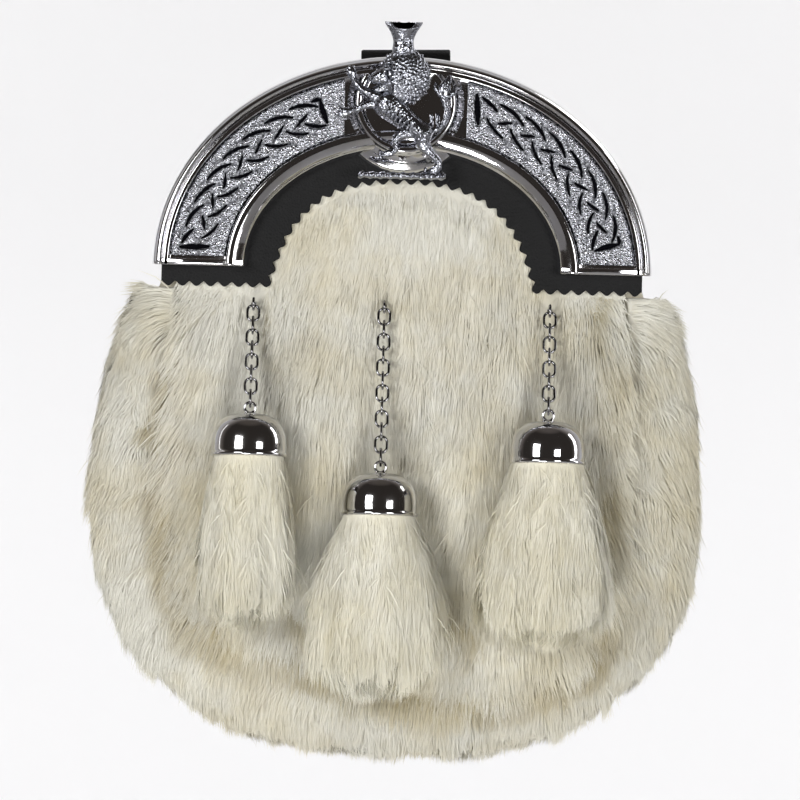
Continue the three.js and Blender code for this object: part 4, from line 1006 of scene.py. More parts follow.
def gusset_point(skin, turn, across, limit, swell=0.0):
    """From the back edge over the bulge to the front seam: the bulge's share is a sine to the power 0.8."""
    back_x, back_z = round_pouch(OUTLINES[skin["back"]], turn, limit)
    bulge_x, bulge_z = round_pouch(OUTLINES[skin["bulge"]], turn, limit)
    seam_x, seam_z = round_pouch(OUTLINES[skin["seam"]], turn, limit)
    inset = skin.get("inset", 0.0)
    out = np.clip(np.sin(math.pi * across), 0, 1) ** 0.8 * (1 + swell)
    x = mix(mix(back_x, seam_x, across), bulge_x, out)
    z = mix(mix(back_z, seam_z, across), bulge_z, out)
    y = mix(skin["rear"], -depth_at(seam_z) - skin["front_extra"], across)
    middle_z = -60.0
    reach = np.hypot(x, z - middle_z) + 1e-6
    shrink = 1 - inset / reach
    return np.stack([x * shrink, y, middle_z + (z - middle_z) * shrink], axis=-1)


def wall_front(x, z):
    """The outer face of the front hide: deeper lower down, and pillowed by a parabola across."""
    half = np.maximum(10, half_width_at(OUTLINES["hide_seam"], np.maximum(z, -135)))
    pillow = 3.5 * (1 - np.clip((x / half) ** 2, 0, 1)) * ease((-9 - z) / 50)
    return -depth_at(z) - 2.3 - pillow


def front_panel(u, v, depth):
    """The front panel from its arched top to its lowest point, with a given depth of cover on the hide."""
    z = mix(PANEL_TOP, OUTLINES["hide_seam"][2], 0.995 * np.sin(math.pi / 2 * np.clip(v * 0.98, 0, 1)))
    x = (2 * u - 1) * half_width_at(OUTLINES["hide_seam"], z)
    return np.stack([x, wall_front(x, z) - depth(x, z), z], axis=-1)


HIDE_SKIN = {"back": "hide_back", "bulge": "hide_bulge", "seam": "hide_seam", "rear": -2.3,
             "front_extra": -0.3}
HIDE_THICK = 2.0
wall = closed_wall(over(lambda u, v: front_panel(u, v, lambda x, z: 0 * x), 60, 60),
                   over(lambda u, v: front_panel(u, v, lambda x, z: 0 * x - HIDE_THICK), 60, 60))
face_outwards(build("front_hide", *wall, HIDE, ["front_wall"], "hide"))
lining = dict(HIDE_SKIN, inset=HIDE_THICK)
wall = closed_wall(over(lambda u, v: gusset_point(HIDE_SKIN, 2 * u - 1, v, HIDE_TOP), 150, 16),
                   over(lambda u, v: gusset_point(lining, 2 * u - 1, v, HIDE_TOP), 150, 16))
face_outwards(build("gusset_hide", *wall, HIDE, ["gusset_wall"], "hide"))

# %% Back panel with its slot mouth
SLOT = {"half_width": 60.0, "high": -9.0, "low": -19.0}


def back_outline(count):
    """An ellipse over the top and the pouch's U below, from the right foot round, at even steps of length."""
    angle = np.linspace(0, math.pi, 200)
    top = np.stack([79 * np.cos(angle), 67.2 * np.sin(angle)], axis=-1)
    u_shape = np.stack(round_pouch(OUTLINES["back_panel"], np.linspace(-1, 1, 400), 0.0), axis=-1)
    line = np.concatenate([top, u_shape[1:]])
    along = np.concatenate([[0], np.cumsum(np.linalg.norm(np.diff(line, axis=0), axis=1))])
    t = np.arange(count) / count * along[-1]
    return np.stack([np.interp(t, along, line[:, k]) for k in (0, 1)], axis=-1)


def slot_outline(toward):
    """The slot's edge where a ray from its middle line meets it, for each outer point."""
    radius = (SLOT["high"] - SLOT["low"]) / 2
    middle = (SLOT["high"] + SLOT["low"]) / 2
    reach = SLOT["half_width"] - radius
    centre = np.clip(toward[:, 0] * reach / 70, -reach, reach)
    way = toward - np.stack([centre, np.full_like(centre, middle)], axis=-1)
    way[:, 0] = np.where(np.abs(centre) < reach * 0.999, way[:, 0] * 0.0, way[:, 0])
    way /= np.linalg.norm(way, axis=1, keepdims=True)
    return np.stack([centre, np.full_like(centre, middle)], axis=-1) + way * radius


def back_panel():
    """Rings of a section that runs round the leather, from its outer edge to the slot and back."""
    outer = back_outline(400)
    inner = slot_outline(outer)
    section = [(0.0, 0.3), (0.004, 0.0), (0.05, 0.0), (0.3, 0.0), (0.7, 0.0), (0.96, 0.0), (0.995, 0.0),
               (1.0, 0.3), (1.0, 1.7), (0.995, 2.0), (0.96, 2.0), (0.5, 2.0), (0.05, 2.0), (0.004, 2.0),
               (0.0, 1.7)]
    share, deep = np.array(section).T
    flat = mix(outer[:, None], inner[:, None], share[None, :, None])
    points = place(flat[..., 0], -deep[None, :], flat[..., 1])
    rows, columns = points.shape[:2]
    return points.reshape(-1, 3), [net(rows + 1, columns, around=True) % (rows * columns)]


def stitch_row(path, face_y, pitch=4.2, long=2.9):
    """Stitches along a closed path: each a thread that bows out and dives into the leather at both ends."""
    rings, sides = 6, 6
    closed = np.vstack([path, path[:1]])
    along = np.concatenate([[0], np.cumsum(np.linalg.norm(np.diff(closed, axis=0), axis=1))])
    count = int(along[-1] / pitch)
    t = (np.arange(count)[:, None] + np.linspace(0, long / pitch, rings)[None, :]) * (along[-1] / count)
    x, z = (np.interp(t, along, closed[:, k]) for k in (0, 1))
    way = np.stack([np.gradient(x, axis=1), np.gradient(z, axis=1)])
    way /= np.linalg.norm(way, axis=0)
    arc = np.sin(np.linspace(0, math.pi, rings))[None, :]
    turn = np.linspace(0, TURN, sides, endpoint=False)
    thick = (0.12 + 0.28 * arc**0.5)[..., None]
    out, up = thick * np.cos(turn), thick * np.sin(turn) + (0.22 * arc - 0.1)[..., None]
    x, z = x[..., None] - way[1][..., None] * out, z[..., None] + way[0][..., None] * out
    points = place(x, face_y + up, z)
    one = net(rings, sides, around=True)
    starts = (np.arange(count) * rings * sides)[:, None, None]
    ends = np.stack([np.arange(sides)[::-1], np.arange(sides) + (rings - 1) * sides])
    faces = [(one[None] + starts).reshape(-1, 4), (ends[None] + starts).reshape(-1, sides)]
    return points.reshape(-1, 3), faces


face_outwards(build("back_leather", *back_panel(), BLACK_LEATHER, ["back_panel"], "black_leather"))
edge = back_outline(900) * 0.955 + np.array([0, -41.4]) * 0.045
face_outwards(build("back_stitches", *stitch_row(edge, 0.0), THREAD, slot="black_leather"))

# %% Hanger loop
LOOP = {"width": 30.0, "gap": 6.0, "height": 40.0, "wall": 2.0, "top": 74.0, "tilt": 0.026}
LOOP_Y = 0.3 + LOOP["wall"] + LOOP["gap"] / 2
LOOP_Z = LOOP["top"] - LOOP["height"] / 2


def tilted(x, z):
    """A small turn about the y axis through the loop's middle."""
    c, d = math.cos(LOOP["tilt"]), math.sin(LOOP["tilt"])
    return x * c - z * d, LOOP_Z + x * d + z * c


def loop_band(depth, height, count=96):
    """A stadium in y and z: two half rounds joined by straight sides."""
    turn = np.arange(count) / count * TURN
    radius = depth / 2
    return radius * np.cos(turn), radius * np.sin(turn) + np.sign(np.sin(turn)) * (height / 2 - radius)


def hanger_loop():
    """Rings of a section across the leather: outer face, soft edge, inner face, soft edge."""
    outer = loop_band(LOOP["gap"] + 2 * LOOP["wall"], LOOP["height"])
    inner = loop_band(LOOP["gap"], LOOP["height"] - 2 * LOOP["wall"])
    half = LOOP["width"] / 2
    flat, bevel = half - 0.5, half - 0.12
    section = [(-flat, 0.0), (0, 0.0), (flat, 0.0), (bevel, 0.1), (half, 0.28), (half, 0.72), (bevel, 0.9),
               (flat, 1.0), (0, 1.0), (-flat, 1.0), (-bevel, 0.9), (-half, 0.72), (-half, 0.28),
               (-bevel, 0.1)]
    across, inwards = np.array(section).T
    y = mix(outer[0][:, None], inner[0][:, None], inwards)
    z = mix(outer[1][:, None], inner[1][:, None], inwards)
    x, z = tilted(np.broadcast_to(across, y.shape), z)
    points = place(x, LOOP_Y + y, z)
    rows, columns = points.shape[:2]
    return points.reshape(-1, 3), [net(rows + 1, columns, around=True) % (rows * columns)]


face_outwards(build("hanger_loop_leather", *hanger_loop(), BLACK_LEATHER, ["hanger_loop"], "black_leather"))
line = np.array([(-12.6, -14.5), (12.6, -14.5), (12.6, 14.5), (-12.6, 14.5)])
box = np.concatenate([np.linspace(line[k], line[(k + 1) % 4], 30)[:-1] for k in range(4)])
box = np.stack(tilted(box[:, 0], box[:, 1]), axis=-1)
stitches = stitch_row(box, LOOP_Y + LOOP["gap"] / 2 + LOOP["wall"])
face_outwards(build("hanger_stitches", *stitches, THREAD, slot="black_leather"))

# %% [markdown]
# ## The fur
# Fur could be a particle system or hair curves, but here it is built as a plain mesh, so each strand is a
# flat
# ribbon of five points: two at its root, two half way and one at its tip. Under the strands lies a closed
# coat a little darker than the tips, so that no hide shows between them. Strands are scattered evenly by
# area, follow the fur's flow, and gather in locks: every strand is pulled part of the way towards the tip of
# the middle strand of its lock, which is what parts rabbit fur into tufts with darker valleys. A ribbon's own
# flat face would shade as harshly as a blade of grass, so each strand is shaded by the normal of the skin
# under it, a little turned and tipped to the front, and the coat then looks as soft as deep fur does.

# %% Scattering, locks and strands
STRAND_POINTS = 5
STEEPEST = 1.2


def skin_at(surface, u, v, step=1e-3):
    """Points, outward normals and local areas: the cross product of the two finite differences."""
    across = (surface(u + step, v) - surface(u - step, v)) / (2 * step)
    down = (surface(u, v + step) - surface(u, v - step)) / (2 * step)
    normal = np.cross(down, across)
    area = np.linalg.norm(normal, axis=-1, keepdims=True) + 1e-9
    return surface(u, v), normal / area, area[..., 0]


def scatter(surface, count, seed, keep):
    """Even places on a surface: random u and v, kept with a chance that grows with area times keep."""
    rng = np.random.default_rng(seed)
    u, v = rng.random(count * 5), rng.random(count * 5) * 0.998 + 0.001
    points, _, area = skin_at(surface, u, v)
    weight = area * keep(points)
    order = np.argsort(rng.random(len(u)) ** (1 / np.maximum(weight, 1e-9)))[::-1]
    chosen = order[:count]
    return u[chosen], v[chosen], rng


def unit(vectors):
    """The same directions, each at length 1."""
    return vectors / (np.linalg.norm(vectors, axis=-1, keepdims=True) + 1e-9)


def locks_of(a, b, seed):
    """The nearest jittered cell centre for each place, with four random numbers that the cell shares."""
    rows, columns = 97, 89
    table = np.random.default_rng(seed).random((rows, columns, 6))
    best = np.full(a.shape, 1e9)
    middle_a, middle_b = np.zeros_like(a), np.zeros_like(b)
    chance = np.zeros(a.shape + (4,))
    for step_a in (-1, 0, 1):
        for step_b in (-1, 0, 1):
            cell_a = np.floor(a).astype(int) + step_a
            cell_b = np.floor(b).astype(int) + step_b
            row = table[cell_a % rows, cell_b % columns]
            here_a, here_b = cell_a + row[..., 0], cell_b + row[..., 1] + 0.5 * (cell_a % 2)
            gap = (here_a - a) ** 2 + (here_b - b) ** 2
            nearer = gap < best
            best = np.where(nearer, gap, best)
            middle_a, middle_b = np.where(nearer, here_a, middle_a), np.where(nearer, here_b, middle_b)
            chance = np.where(nearer[..., None], row[..., 2:], chance)
    return middle_a, middle_b, chance


def strand_line(surface, u, v, flow, long, rise, sag, twist):
    """Root, middle and tip: out of the skin at the rise angle along the flow, then bent by its weight."""
    root, normal, _ = skin_at(surface, u, v)
    way = flow(root, normal)
    way = unit(way - (way * normal).sum(-1, keepdims=True) * normal)
    side = np.cross(way, normal)
    way = unit(way + side * twist[..., None])
    reach = long(root)
    angle = rise(root, reach)[..., None]
    start = way * np.cos(angle) + normal * np.sin(angle)
    bent = unit(start * (1 - sag) + way * sag + np.array([0, 0, -0.55]) * sag)
    root = root - normal * 0.15
    middle = root + start * (reach * 0.45)[..., None]
    return root, middle, middle + bent * (reach * 0.55)[..., None], normal


def fur_strands(surface, size, count, seed, flow, long, rise, keep, gather=0.4, cell=(5.0, 11.0), wide=0.4,
                spread=0.18, wraps=False, sag=0.6, shaded=None):
    """All strands of a coat: points, faces, tip and tone maps, and shading normals. Size is the surface's
    millimetres across and down."""
    u, v, rng = scatter(surface, count, seed, keep)
    count = len(u)
    a, b = u * size[0] / cell[0], v * size[1] / cell[1]
    warp = 0.35 * ripple(a, b, 5.0, seed + 1)
    middle_a, middle_b, chance = locks_of(a + warp, b, seed + 2)
    middle_u, middle_v = (middle_a - warp) * cell[0] / size[0], middle_b * cell[1] / size[1]
    if not wraps:
        middle_u = np.clip(middle_u, 0.001, 0.999)
    middle_v = np.clip(middle_v, 0.001, 0.999)
    lock_twist = (chance[:, 0] - 0.5) * 2 * spread
    lock_long = 0.8 + 0.4 * chance[:, 1]
    stray = rng.random(count) < 0.07
    twist = lock_twist + rng.normal(0, 0.13, count) + stray * rng.normal(0, 0.5, count)
    own_long = lock_long * rng.uniform(0.7, 1.12, count)
    lift = 0.75 + 0.5 * chance[:, 2]
    own_lift = rng.uniform(0.6, 1.35, count)

    def own_rise(points, reach):
        return np.minimum(STEEPEST, rise(points, reach) * lift * own_lift)

    def lock_rise(points, reach):
        return np.minimum(STEEPEST, rise(points, reach) * lift)

    own = strand_line(surface, u, v, flow, lambda p: long(p) * own_long, own_rise, sag, twist)
    root, middle, tip, normal = own
    lead = strand_line(surface, middle_u, middle_v, flow, lambda p: long(p) * lock_long, lock_rise, sag,
                       lock_twist)
    _, lead_middle, lead_tip, _ = lead
    pull = np.where(stray, 0.1, gather * rng.uniform(0.6, 1.15, count))[:, None]
    tip = mix(tip, lead_tip + rng.normal(0, 0.55, (count, 3)), pull)
    middle = mix(middle, lead_middle, pull * 0.42)
    way = unit(tip - root)
    flat = unit(np.cross(way, normal))
    turn = rng.uniform(-0.35, 0.35, count)[:, None]
    side = unit(flat * np.cos(turn) + np.cross(way, flat) * np.sin(turn))
    half = (wide * rng.uniform(0.35, 0.65, count))[:, None]
    bits = [root - side * half, root + side * half,
            middle + side * half * 0.85, middle - side * half * 0.85, tip]
    points = np.stack(bits, axis=1).reshape(-1, 3)
    start = (np.arange(count) * STRAND_POINTS)[:, None]
    tone = np.clip(0.5 * rng.random(count) + 0.5 * chance[:, 3], 0, 1)
    pale = np.tile([0.5, 0.5, 0.75, 0.75, 1.0], count)
    # Painted shade in the fur's folds: the tip map is lowered there, towards the root colour.
    if shaded is not None:
        pale = pale - np.repeat(shaded(root[:, 0], root[:, 2]), STRAND_POINTS)
    maps = {"tip": pale, "tone": np.repeat(tone, STRAND_POINTS)}
    turned_by = side * rng.uniform(-0.3, 0.3, count)[:, None] + np.array([0, -0.3, 0])
    lit = np.repeat(unit(normal + turned_by), STRAND_POINTS, axis=0)
    faces = [start + np.array([[0, 1, 2, 3]]), start + np.array([[3, 2, 4]])]
    return place(*points.T), faces, maps, lit


def coat_maps(points, seed):
    """The coat under the strands is between its root and tip colours, with a little noise in its tone."""
    count = len(points)
    return {"tip": np.full(count, 0.6), "tone": np.random.default_rng(seed).uniform(0.3, 0.6, count)}


# %% [markdown]
# ## Front and side coats
# The front fur is pressed thin under the leather, the chains and the tassels and stands deep elsewhere. The
# gusset's fur wraps the sides and the bottom in an outward bulge, and its tips make the soft outline.

# %% Fur depth and the two coats
COAT_HAIRS, TASSEL_HAIRS = 62000, 22000
TASSELS = [
    {"name": "left", "x": -49.0, "links": 8, "wide": 37.0, "long": 60.0, "bell_y": -44.0,
     "belly": 0.78, "full": 0.74},
    {"name": "middle", "x": -5.5, "links": 12, "wide": 47.0, "long": 65.0, "bell_y": -44.5,
     "belly": 0.52, "full": 0.88},
    {"name": "right", "x": 49.5, "links": 8, "wide": 46.0, "long": 64.0, "bell_y": -43.5,
     "belly": 0.78, "full": 0.88},
]
EYELET_Z = -12.4
LINK = {"half_width": 1.95, "half_height": 2.8, "wire": 0.45, "pitch": 4.4}
EYE = {"radius": 1.8, "wire": 0.5}
LINK_HANG = LINK["half_height"] + EYE["radius"] - EYE["wire"] - LINK["wire"] - 0.3
BELL = {"radius": 12.4, "height": 14.6, "wall": 0.8, "seat": 1.7}


def hump(distance, reach):
    """1 at no distance, falling off as a bell curve: e to the minus square of the distance over its reach."""
    return np.exp(-((distance / reach) ** 2))


def fur_depth(x, z):
    """Depth of the front fur: a sine's rise below the arch, less the press of each tassel and chain."""
    pressed = np.zeros(np.broadcast(x, z).shape)
    for tassel in TASSELS:
        cap_top = EYELET_Z - tassel["links"] * LINK["pitch"]
        tassel_end = cap_top - BELL["height"] - tassel["long"]
        behind_tassel = ease((cap_top + 10 - z) / 6) * ease((z - tassel_end + 4) / 16)
        behind_chain = ease((EYELET_Z + 10 - z) / 6)
        off = x - tassel["x"]
        pressed = np.maximum(pressed, behind_tassel * 6.3 * hump(off, 17.0))
        pressed = np.maximum(pressed, behind_chain * 3.6 * hump(off, 8.0))
    deep = mix(3.4, 8.5, np.sin(math.pi / 2 * np.clip((FACING["low"] + 12 - z) / 36, 0, 1)))
    return np.maximum(2.0, deep - pressed)


def clear_of_leather(x, z):
    """Millimetres from the leather to a place on the fur, by the arch's superellipse or below the edge."""
    power = ARCH["power"]
    up = np.clip(z - FACING["low"], 0, None) / (ARCH["top"] - FACING["low"])
    half = ARCH["half_width"] + ARCH["flare"] * (1 - np.clip(up, 0, 1)) ** 2
    share = (np.abs(x / half) ** power + up**power) ** (1 / power)
    return np.maximum((1 - share) * 36.0, FACING["low"] - z)


FOLD_SHADE = [
    # places (x, z) down a fold of the fur, then the fold's half width and the depth of its painted shade
    ([(-78, -36), (-77, -60), (-74, -97), (-69, -117), (-47, -125), (-24, -131), (0, -140), (33, -142),
      (53, -134)], 5.5, 0.85),
    ([(67, -8), (69, -36), (70, -84), (74, -110), (66, -128), (53, -134)], 5.5, 0.7),
    ([(-43, -4), (-43, -32)], 2.2, 0.3),
    ([(43, -2), (44, -34)], 2.2, 0.3),
    ([(-31, -112), (-25, -121)], 5.0, 0.8),
    ([(20, -110), (24, -118)], 5.0, 0.8),
]


def fold_shade_at(x, z):
    """How much painted shade a place gets in a fold of the fur: a hump of its distance from the fold's
    line, broken up by noise.
    """
    deep = np.zeros(np.broadcast(x, z).shape)
    for places, half, depth in FOLD_SHADE:
        gap, _ = distance_to(np.asarray(places, float), x + 2.5 * ripple(x, z, 22.0, 91, 5), z)
        deep = np.maximum(deep, depth * hump(gap, half))
    return deep * np.clip(0.66 + 0.2 * ripple(x, z, 30.0, 92, 8), 0.35, 0.9)


def coat_depth(x, z):
    """The closed coat: about two thirds of the fur's depth in the open, and thin behind the leather."""
    behind = 1.7
    return 0.3 + np.clip(behind + 0.3 * (clear_of_leather(x, z) - 1.5), behind, 0.66 * fur_depth(x, z) + 0.6)


def front_coat(u, v):
    """The front panel under the depth of the closed coat."""
    return front_panel(u, v, coat_depth)


FUR_SKIN = {"back": "fur_back", "bulge": "fur_bulge", "seam": "fur_seam", "rear": -0.9, "front_extra": 5.0}
FUR_TOP = FACING["low"] - TOOTH["depth"] - 0.9
FUR_REACH = 1 - UPPER * (HIDE_TOP - FUR_TOP) / (HIDE_TOP - WIDEST_Z)
FRONT_GRID, GUSSET_GRID = (76, 90), (200, 26)


def side_coat(u, v):
    """The gusset's coat from one top to the other, with broad lobes that break its outline."""
    lobes = 0.055 * ripple(u * 430, v * 30, 46.0, 23)
    return gusset_point(FUR_SKIN, (1 - 2 * u) * FUR_REACH, v, FUR_TOP, lobes)


inside = over(lambda u, v: front_panel(u, v, lambda x, z: 0 * x + 0.3), *FRONT_GRID)
points, faces = closed_wall(over(front_coat, *FRONT_GRID), inside)
coat = build("fur_front_coat", points, faces, PELT, ["fur_front"], "rabbit_fur", coat_maps(points, 31))
face_outwards(coat)
INNER_SKIN = {"back": "back_panel", "bulge": "hide_bulge", "seam": "hide_seam", "rear": -2.3,
              "front_extra": 0.5, "inset": -0.6}
inside = over(lambda u, v: gusset_point(INNER_SKIN, (1 - 2 * u) * FUR_REACH, v, FUR_TOP), *GUSSET_GRID)
points, faces = closed_wall(over(side_coat, *GUSSET_GRID), inside)
coat = build("fur_gusset_coat", points, faces, PELT, ["fur_gusset"], "rabbit_fur", coat_maps(points, 32))
face_outwards(coat)

# %% Strands of the front
def front_flow(points, normal):
    """Down, a little to the left in the middle, and outwards near the two seams."""
    x, z = points[..., 0], points[..., 2]
    near_seam = np.clip((np.abs(x) / half_width_at(OUTLINES["hide_seam"], z) - 0.8) / 0.2, 0, 1)
    side = -0.10 - 0.06 * ripple(x, z, 60.0, 41) + 0.22 * np.clip(x / 75, -1, 1) ** 3
    return np.stack([side + 0.5 * np.sign(x) * near_seam, 0 * x, -np.ones_like(x)], axis=-1)


def front_long(points):
    """Strands of 6 mm at the leather, growing by half their distance from it to 14.5 mm."""
    x, z = points[..., 0], points[..., 2]
    return np.clip(6.0 + 0.5 * clear_of_leather(x, z), 6.0, 14.5)


def front_rise(points, reach):
    """The angle whose sine is the free depth of the fur over the strand's length."""
    x, z = points[..., 0], points[..., 2]
    free = np.maximum(1.0, 0.42 * fur_depth(x, z)) * np.clip(0.5 + clear_of_leather(x, z) / 7, 0.4, 1)
    return np.arcsin(np.clip(free / reach, 0, 0.8))


def front_keep(points):
    """Roots start just behind the leather where it hangs above them, and none stand round the eyelets."""
    x, z = points[..., 0], points[..., 2]
    keep = (clear_of_leather(x, z - 3.0) > 0.7).astype(float)
    for tassel in TASSELS:
        keep *= np.hypot(x - tassel["x"], z - EYELET_Z - 2.0) > 4.0
    return keep


strands = fur_strands(front_coat, (150.0, 176.0), COAT_HAIRS, 51, front_flow, front_long, front_rise,
                      front_keep, gather=0.28, wide=0.32, spread=0.13, shaded=fold_shade_at)
build("fur_front_hair", *strands[:2], PELT, slot="rabbit_fur", maps=strands[2], normals=strands[3])


# %% Strands of the gusset
def side_flow(points, normal):
    """Down and away from the middle, and more outwards at the shoulders under the cantle's feet."""
    x, z = points[..., 0], points[..., 2]
    low = np.clip((-z - 100) / 50, 0, 1)
    shoulder = np.clip((z + 26) / 16, 0, 1)
    outwards = np.sign(x) * np.clip(np.abs(x) / 60, 0, 1) * (0.28 * (1 - 0.6 * low) + 0.9 * shoulder)
    return np.stack([outwards, 0.1 + 0 * x, -1.0 + 1.3 * shoulder], axis=-1)


def side_keep(points):
    """Fewer strands near the back, and none above the leather's edge."""
    return np.where(points[..., 1] > -7, 0.55, 1.0) * (points[..., 2] < FUR_TOP - 0.1)


strands = fur_strands(side_coat, (430.0, 42.0), COAT_HAIRS, 61, side_flow, lambda p: 11.0 + 0 * p[..., 0],
                      lambda p, r: 0.38 + 0 * r, side_keep, gather=0.32, cell=(6.0, 9.0), wide=0.36,
                      spread=0.2, shaded=fold_shade_at)
build("fur_gusset_hair", *strands[:2], PELT, slot="rabbit_fur", maps=strands[2], normals=strands[3])

# %% [markdown]
# ## Chains, caps and tassels
# Each tassel hangs from a riveted eyelet by a chain of oval links, every second one turned a quarter. The
# chain lies down the fur and leans forward a little, so the first and last eyes set its slope. The cap is a
# turned bell, and the tassel is a body of fur that flares below it.

# %% Chains and eyelets
def oval_ring(half_width, half_height, wire, segments=36, sides=10):
    """A torus stretched upright: a round wire carried along a circle whose halves are moved apart."""
    angle = (np.arange(segments) + 0.5) / segments * TURN
    turn = np.arange(sides) / sides * TURN
    radius = half_width + wire * np.cos(turn)[None, :]
    x = radius * np.cos(angle)[:, None]
    z = radius * np.sin(angle)[:, None]
    z = z + np.sign(np.sin(angle))[:, None] * (half_height - half_width)
    y = np.broadcast_to(wire * np.sin(turn)[None, :], x.shape)
    points = np.stack([x, y, z], axis=-1).reshape(-1, 3)
    return points, [net(segments + 1, sides, around=True) % (segments * sides)]


def turned(profile, sides):
    """A body turned round the z axis from pairs of radius and height."""
    profile = np.asarray(profile, float)
    angle = np.arange(sides) / sides * TURN
    x = profile[None, :, 0] * np.cos(angle)[:, None]
    y = profile[None, :, 0] * np.sin(angle)[:, None]
    z = np.broadcast_to(profile[None, :, 1], x.shape)
    points = np.stack([x, y, z], axis=-1).reshape(-1, 3)
    return points, [net(sides + 1, len(profile)) % (sides * len(profile))]


def leaned(points, angle, where):
    """A turn about the x axis, so that what hangs below leans forward, then a move."""
    c, d = math.cos(angle), math.sin(angle)
    x, y, z = points[..., 0], points[..., 1], points[..., 2]
    return np.stack([x, y * c + z * d, z * c - y * d], axis=-1) + np.asarray(where)


def quarter(points):
    """A quarter turn about the upright axis."""
    return np.stack([points[:, 1], -points[:, 0], points[:, 2]], axis=-1)


def chain_points(tassel):
    """The eyelet's eye, the chain's slope, and where its last eye hangs."""
    skin_y = float(wall_front(tassel["x"], EYELET_Z) - 0.3 - fur_depth(tassel["x"], EYELET_Z))
    eye_y = skin_y - EYE["radius"] - 2
    reach = 2 * LINK_HANG + (tassel["links"] - 1) * LINK["pitch"]
    slant = math.asin((eye_y - tassel["bell_y"]) / reach)
    eye = np.array([tassel["x"], eye_y, EYELET_Z])
    return eye, slant, eye + np.array([0, -math.sin(slant), -math.cos(slant)]) * reach


def make_chain(tassel):
    """Links a pitch apart from the eye down, every second one a quarter turned, all leaned by the slope."""
    eye, slant, _ = chain_points(tassel)
    links, names = [], []
    for k in range(tassel["links"]):
        points, faces = oval_ring(LINK["half_width"], LINK["half_height"], LINK["wire"])
        if k % 2:
            points = quarter(points)
        points = points + np.array([0, 0, -LINK_HANG - k * LINK["pitch"]])
        links.append((leaned(points, slant, eye), faces))
        names.append(f"chain_{tassel['name']}_{k + 1}")
    points, faces = merged(links)
    face_outwards(build(f"chain_{tassel['name']}", place(*points.T), faces, WORN_CHROME, names, "chrome"))


def make_eyelet(tassel):
    """A domed flange against the hide, a short stem through the fur, and an eye."""
    eye, _, _ = chain_points(tassel)
    hide_y = float(wall_front(tassel["x"], EYELET_Z)) - 0.6
    shank = hide_y - eye[1]
    profile = [(0, shank), (2.1, shank), (2.1, shank - 0.5), (1.7, shank - 0.9), (0.85, shank - 1.1),
               (0.85, EYE["radius"]), (0, EYE["radius"])]
    stem, stem_faces = turned(profile, 32)
    stem = np.stack([stem[:, 0], stem[:, 2], stem[:, 1]], axis=-1)
    ring, ring_faces = oval_ring(EYE["radius"], EYE["radius"], EYE["wire"])
    points, faces = merged([(stem, stem_faces), (quarter(ring), ring_faces)])
    points = points + eye
    name = f"tassel_eyelet_{tassel['name']}"
    face_outwards(build(name + "_chrome", place(*points.T), faces, WORN_CHROME, [name], "chrome"))


for tassel in TASSELS:
    make_eyelet(tassel)
    make_chain(tassel)

# %% Caps
LEAN = 0.09
CAP_OUTSIDE = [
    # radius, height
    (0, 0), (0.9, -0.02), (2.4, -0.12), (6.2, -0.75), (8.4, -1.75), (10.1, -3.2), (11.3, -5.0),
    (12.0, -7.0), (12.3, -8.8), (12.4, -10.4), (12.4, -12.4), (12.45, -13.2), (12.75, -13.5),
    (12.85, -13.9), (12.75, -14.3), (12.4, -14.55), (11.95, -14.6), (11.6, -14.5),
]
CAP_INSIDE = [(11.6, -12.0), (11.55, -8.8), (10.7, -5.8), (9.0, -3.9), (6.0, -2.2), (2.0, -1.4), (0, -1.3)]


def hung(points, hang):
    """Points of a cap or a tassel, leaned and moved to the chain's end, in metres."""
    return place(*leaned(points, LEAN, hang).T)


def make_cap(tassel):
    """A turned bell with a rolled lip, and the eye on top that the last link holds."""
    _, _, hang = chain_points(tassel)
    profile = [(r, z - BELL["seat"]) for r, z in CAP_OUTSIDE + CAP_INSIDE]
    bell, bell_faces = turned(profile, 96)
    ring, ring_faces = oval_ring(EYE["radius"], EYE["radius"], EYE["wire"])
    points, faces = merged([(bell, bell_faces), (ring, ring_faces)])
    name = f"tassel_bell_{tassel['name']}"
    face_outwards(build(name + "_chrome", hung(points, hang), faces, CHROME, [name], "chrome"))


for tassel in TASSELS:
    make_cap(tassel)

# %% Tassel fur
NECK = BELL["radius"] - BELL["wall"] - 0.3
MOUTH = -BELL["seat"] - BELL["height"]
TASSEL_SIDES = 64
CLOSE_FROM, CLOSE_LONG = 0.78, 0.22


def tassel_half(tassel, down):
    """A tassel's half width and half depth at a share of its length: a sine's flare out, then in again."""
    belly, full = tassel["belly"], tassel["full"]
    flare = np.sin(math.pi / 2 * np.clip(down / belly, 0, 1)) ** (1.15 if belly < 0.6 else 0.9)
    after = np.clip((down - belly) / (1.0 - belly), 0, 1)
    flare = flare * (1 - (0.75 if belly < 0.6 else 0.5) * after**2)
    half_deep = BELL["radius"] * (0.55 + 0.45 * full)
    return mix(NECK, tassel["wide"] / 2 * full, flare), mix(NECK, half_deep, flare)


def tassel_coat(tassel):
    """Rows go from inside the cap down the body, which closes at its end by a quarter circle."""
    def surface(u, v):
        down = np.clip(v, 0, 1) * 0.8
        wide, deep = tassel_half(tassel, down)
        close = np.sqrt(np.clip(1 - np.clip((v - CLOSE_FROM) / CLOSE_LONG, 0, 1) ** 2, 0, 1))
        wave = 1 + 0.05 * np.sin(7 * TURN * u + 2.0 * np.sin(TURN * u)) * np.clip(down * 3, 0, 1)
        angle = TURN * u
        x = wide * wave * close * np.sin(angle)
        y = -deep * wave * close * np.cos(angle)
        z = MOUTH + 2.2 - down * (tassel["long"] + 2.2)
        return np.stack([x, y, z], axis=-1)
    return surface


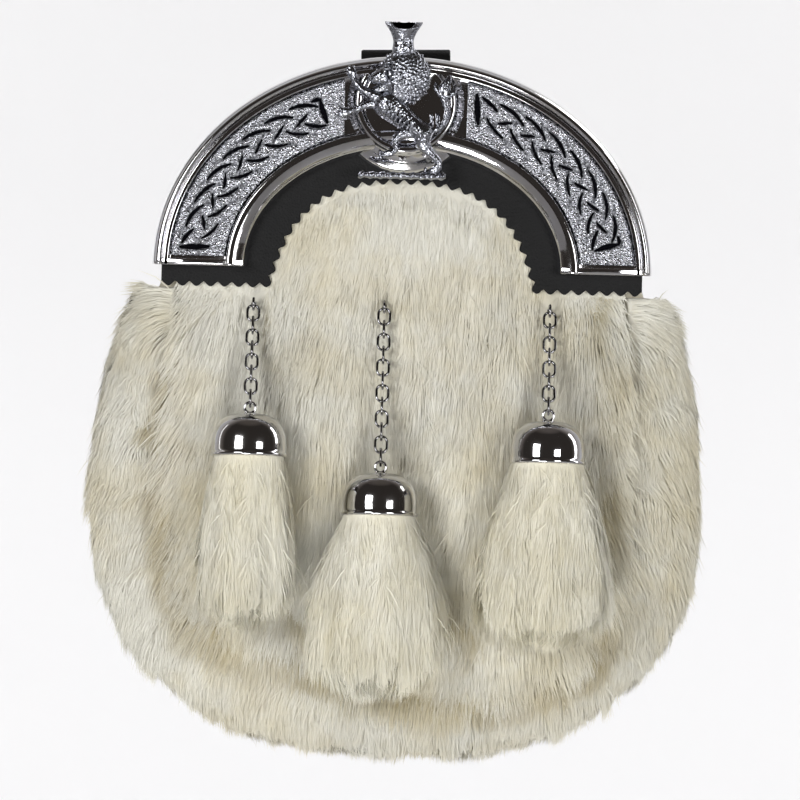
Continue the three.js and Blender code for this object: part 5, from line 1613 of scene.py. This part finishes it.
def make_tassel(tassel, seed):
    """A closed body with a collar and a head inside the cap, and the strands that hang from it."""
    _, _, hang = chain_points(tassel)
    surface = tassel_coat(tassel)
    name = f"tassel_fur_{tassel['name']}"
    end = CLOSE_FROM + CLOSE_LONG * np.sin(np.linspace(0.1, math.pi / 2, 12))
    down = np.concatenate([np.linspace(0, CLOSE_FROM, 30), end])
    u, v = np.meshgrid(np.arange(TASSEL_SIDES) / TASSEL_SIDES, down)
    body = surface(u, v)
    head = np.stack([body[0, :, 0] * 0, body[0, :, 1] * 0, body[0, :, 2] + 5.0], axis=-1)[None]
    collar = (body[0] * (0.9, 0.9, 1) + (0, 0, 3.2))[None]
    rings = np.concatenate([head, collar, body])
    points, faces = rings.reshape(-1, 3), [net(len(rings), TASSEL_SIDES, around=True)]
    face_outwards(build(name + "_body", hung(points, hang), faces, TASSEL_HAIR, [name], "rabbit_fur",
                        coat_maps(points, seed)))

    def flow(points, normal):
        x, z = points[..., 0], points[..., 2]
        return np.stack([0.05 * np.sin(z * 0.15 + seed) + 0 * x, 0 * x, -1 + 0 * x], axis=-1)

    def long(points):
        down = (MOUTH - points[..., 2]) / tassel["long"]
        return np.clip(13 + 3 * down, 12, 16)

    def keep(points):
        return (points[..., 2] < MOUTH + 1.2) * 1.0

    def rise(points, reach):
        down = (MOUTH - points[..., 2]) / tassel["long"]
        return 0.1 + 0.14 * np.clip(down * 3, 0, 1)

    strands = fur_strands(surface, (95.0, 60.0), TASSEL_HAIRS, seed, flow, long, rise, keep, gather=0.24,
                          cell=(4.5, 15.0), wide=0.34, spread=0.08, wraps=True, sag=0.5)
    points, faces, maps, lit = strands
    local = (points - place(0, 0, 0)) / MM
    build(name + "_hair", hung(local, hang), faces, TASSEL_HAIR, slot="rabbit_fur", maps=maps,
          normals=leaned(lit, LEAN, (0, 0, 0)))


for k, tassel in enumerate(TASSELS):
    make_tassel(tassel, 71 + k)

# %% Size of the model before and after, and the end
made_low, made_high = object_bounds()
sizes = {"cad": [list(map(float, cad_low)), list(map(float, cad_high))], "visual": [list(map(float, made_low)), list(map(float, made_high))]}
print("size in mm:", [round((b - a) * 1000, 1) for a, b in zip(*sizes["visual"])])
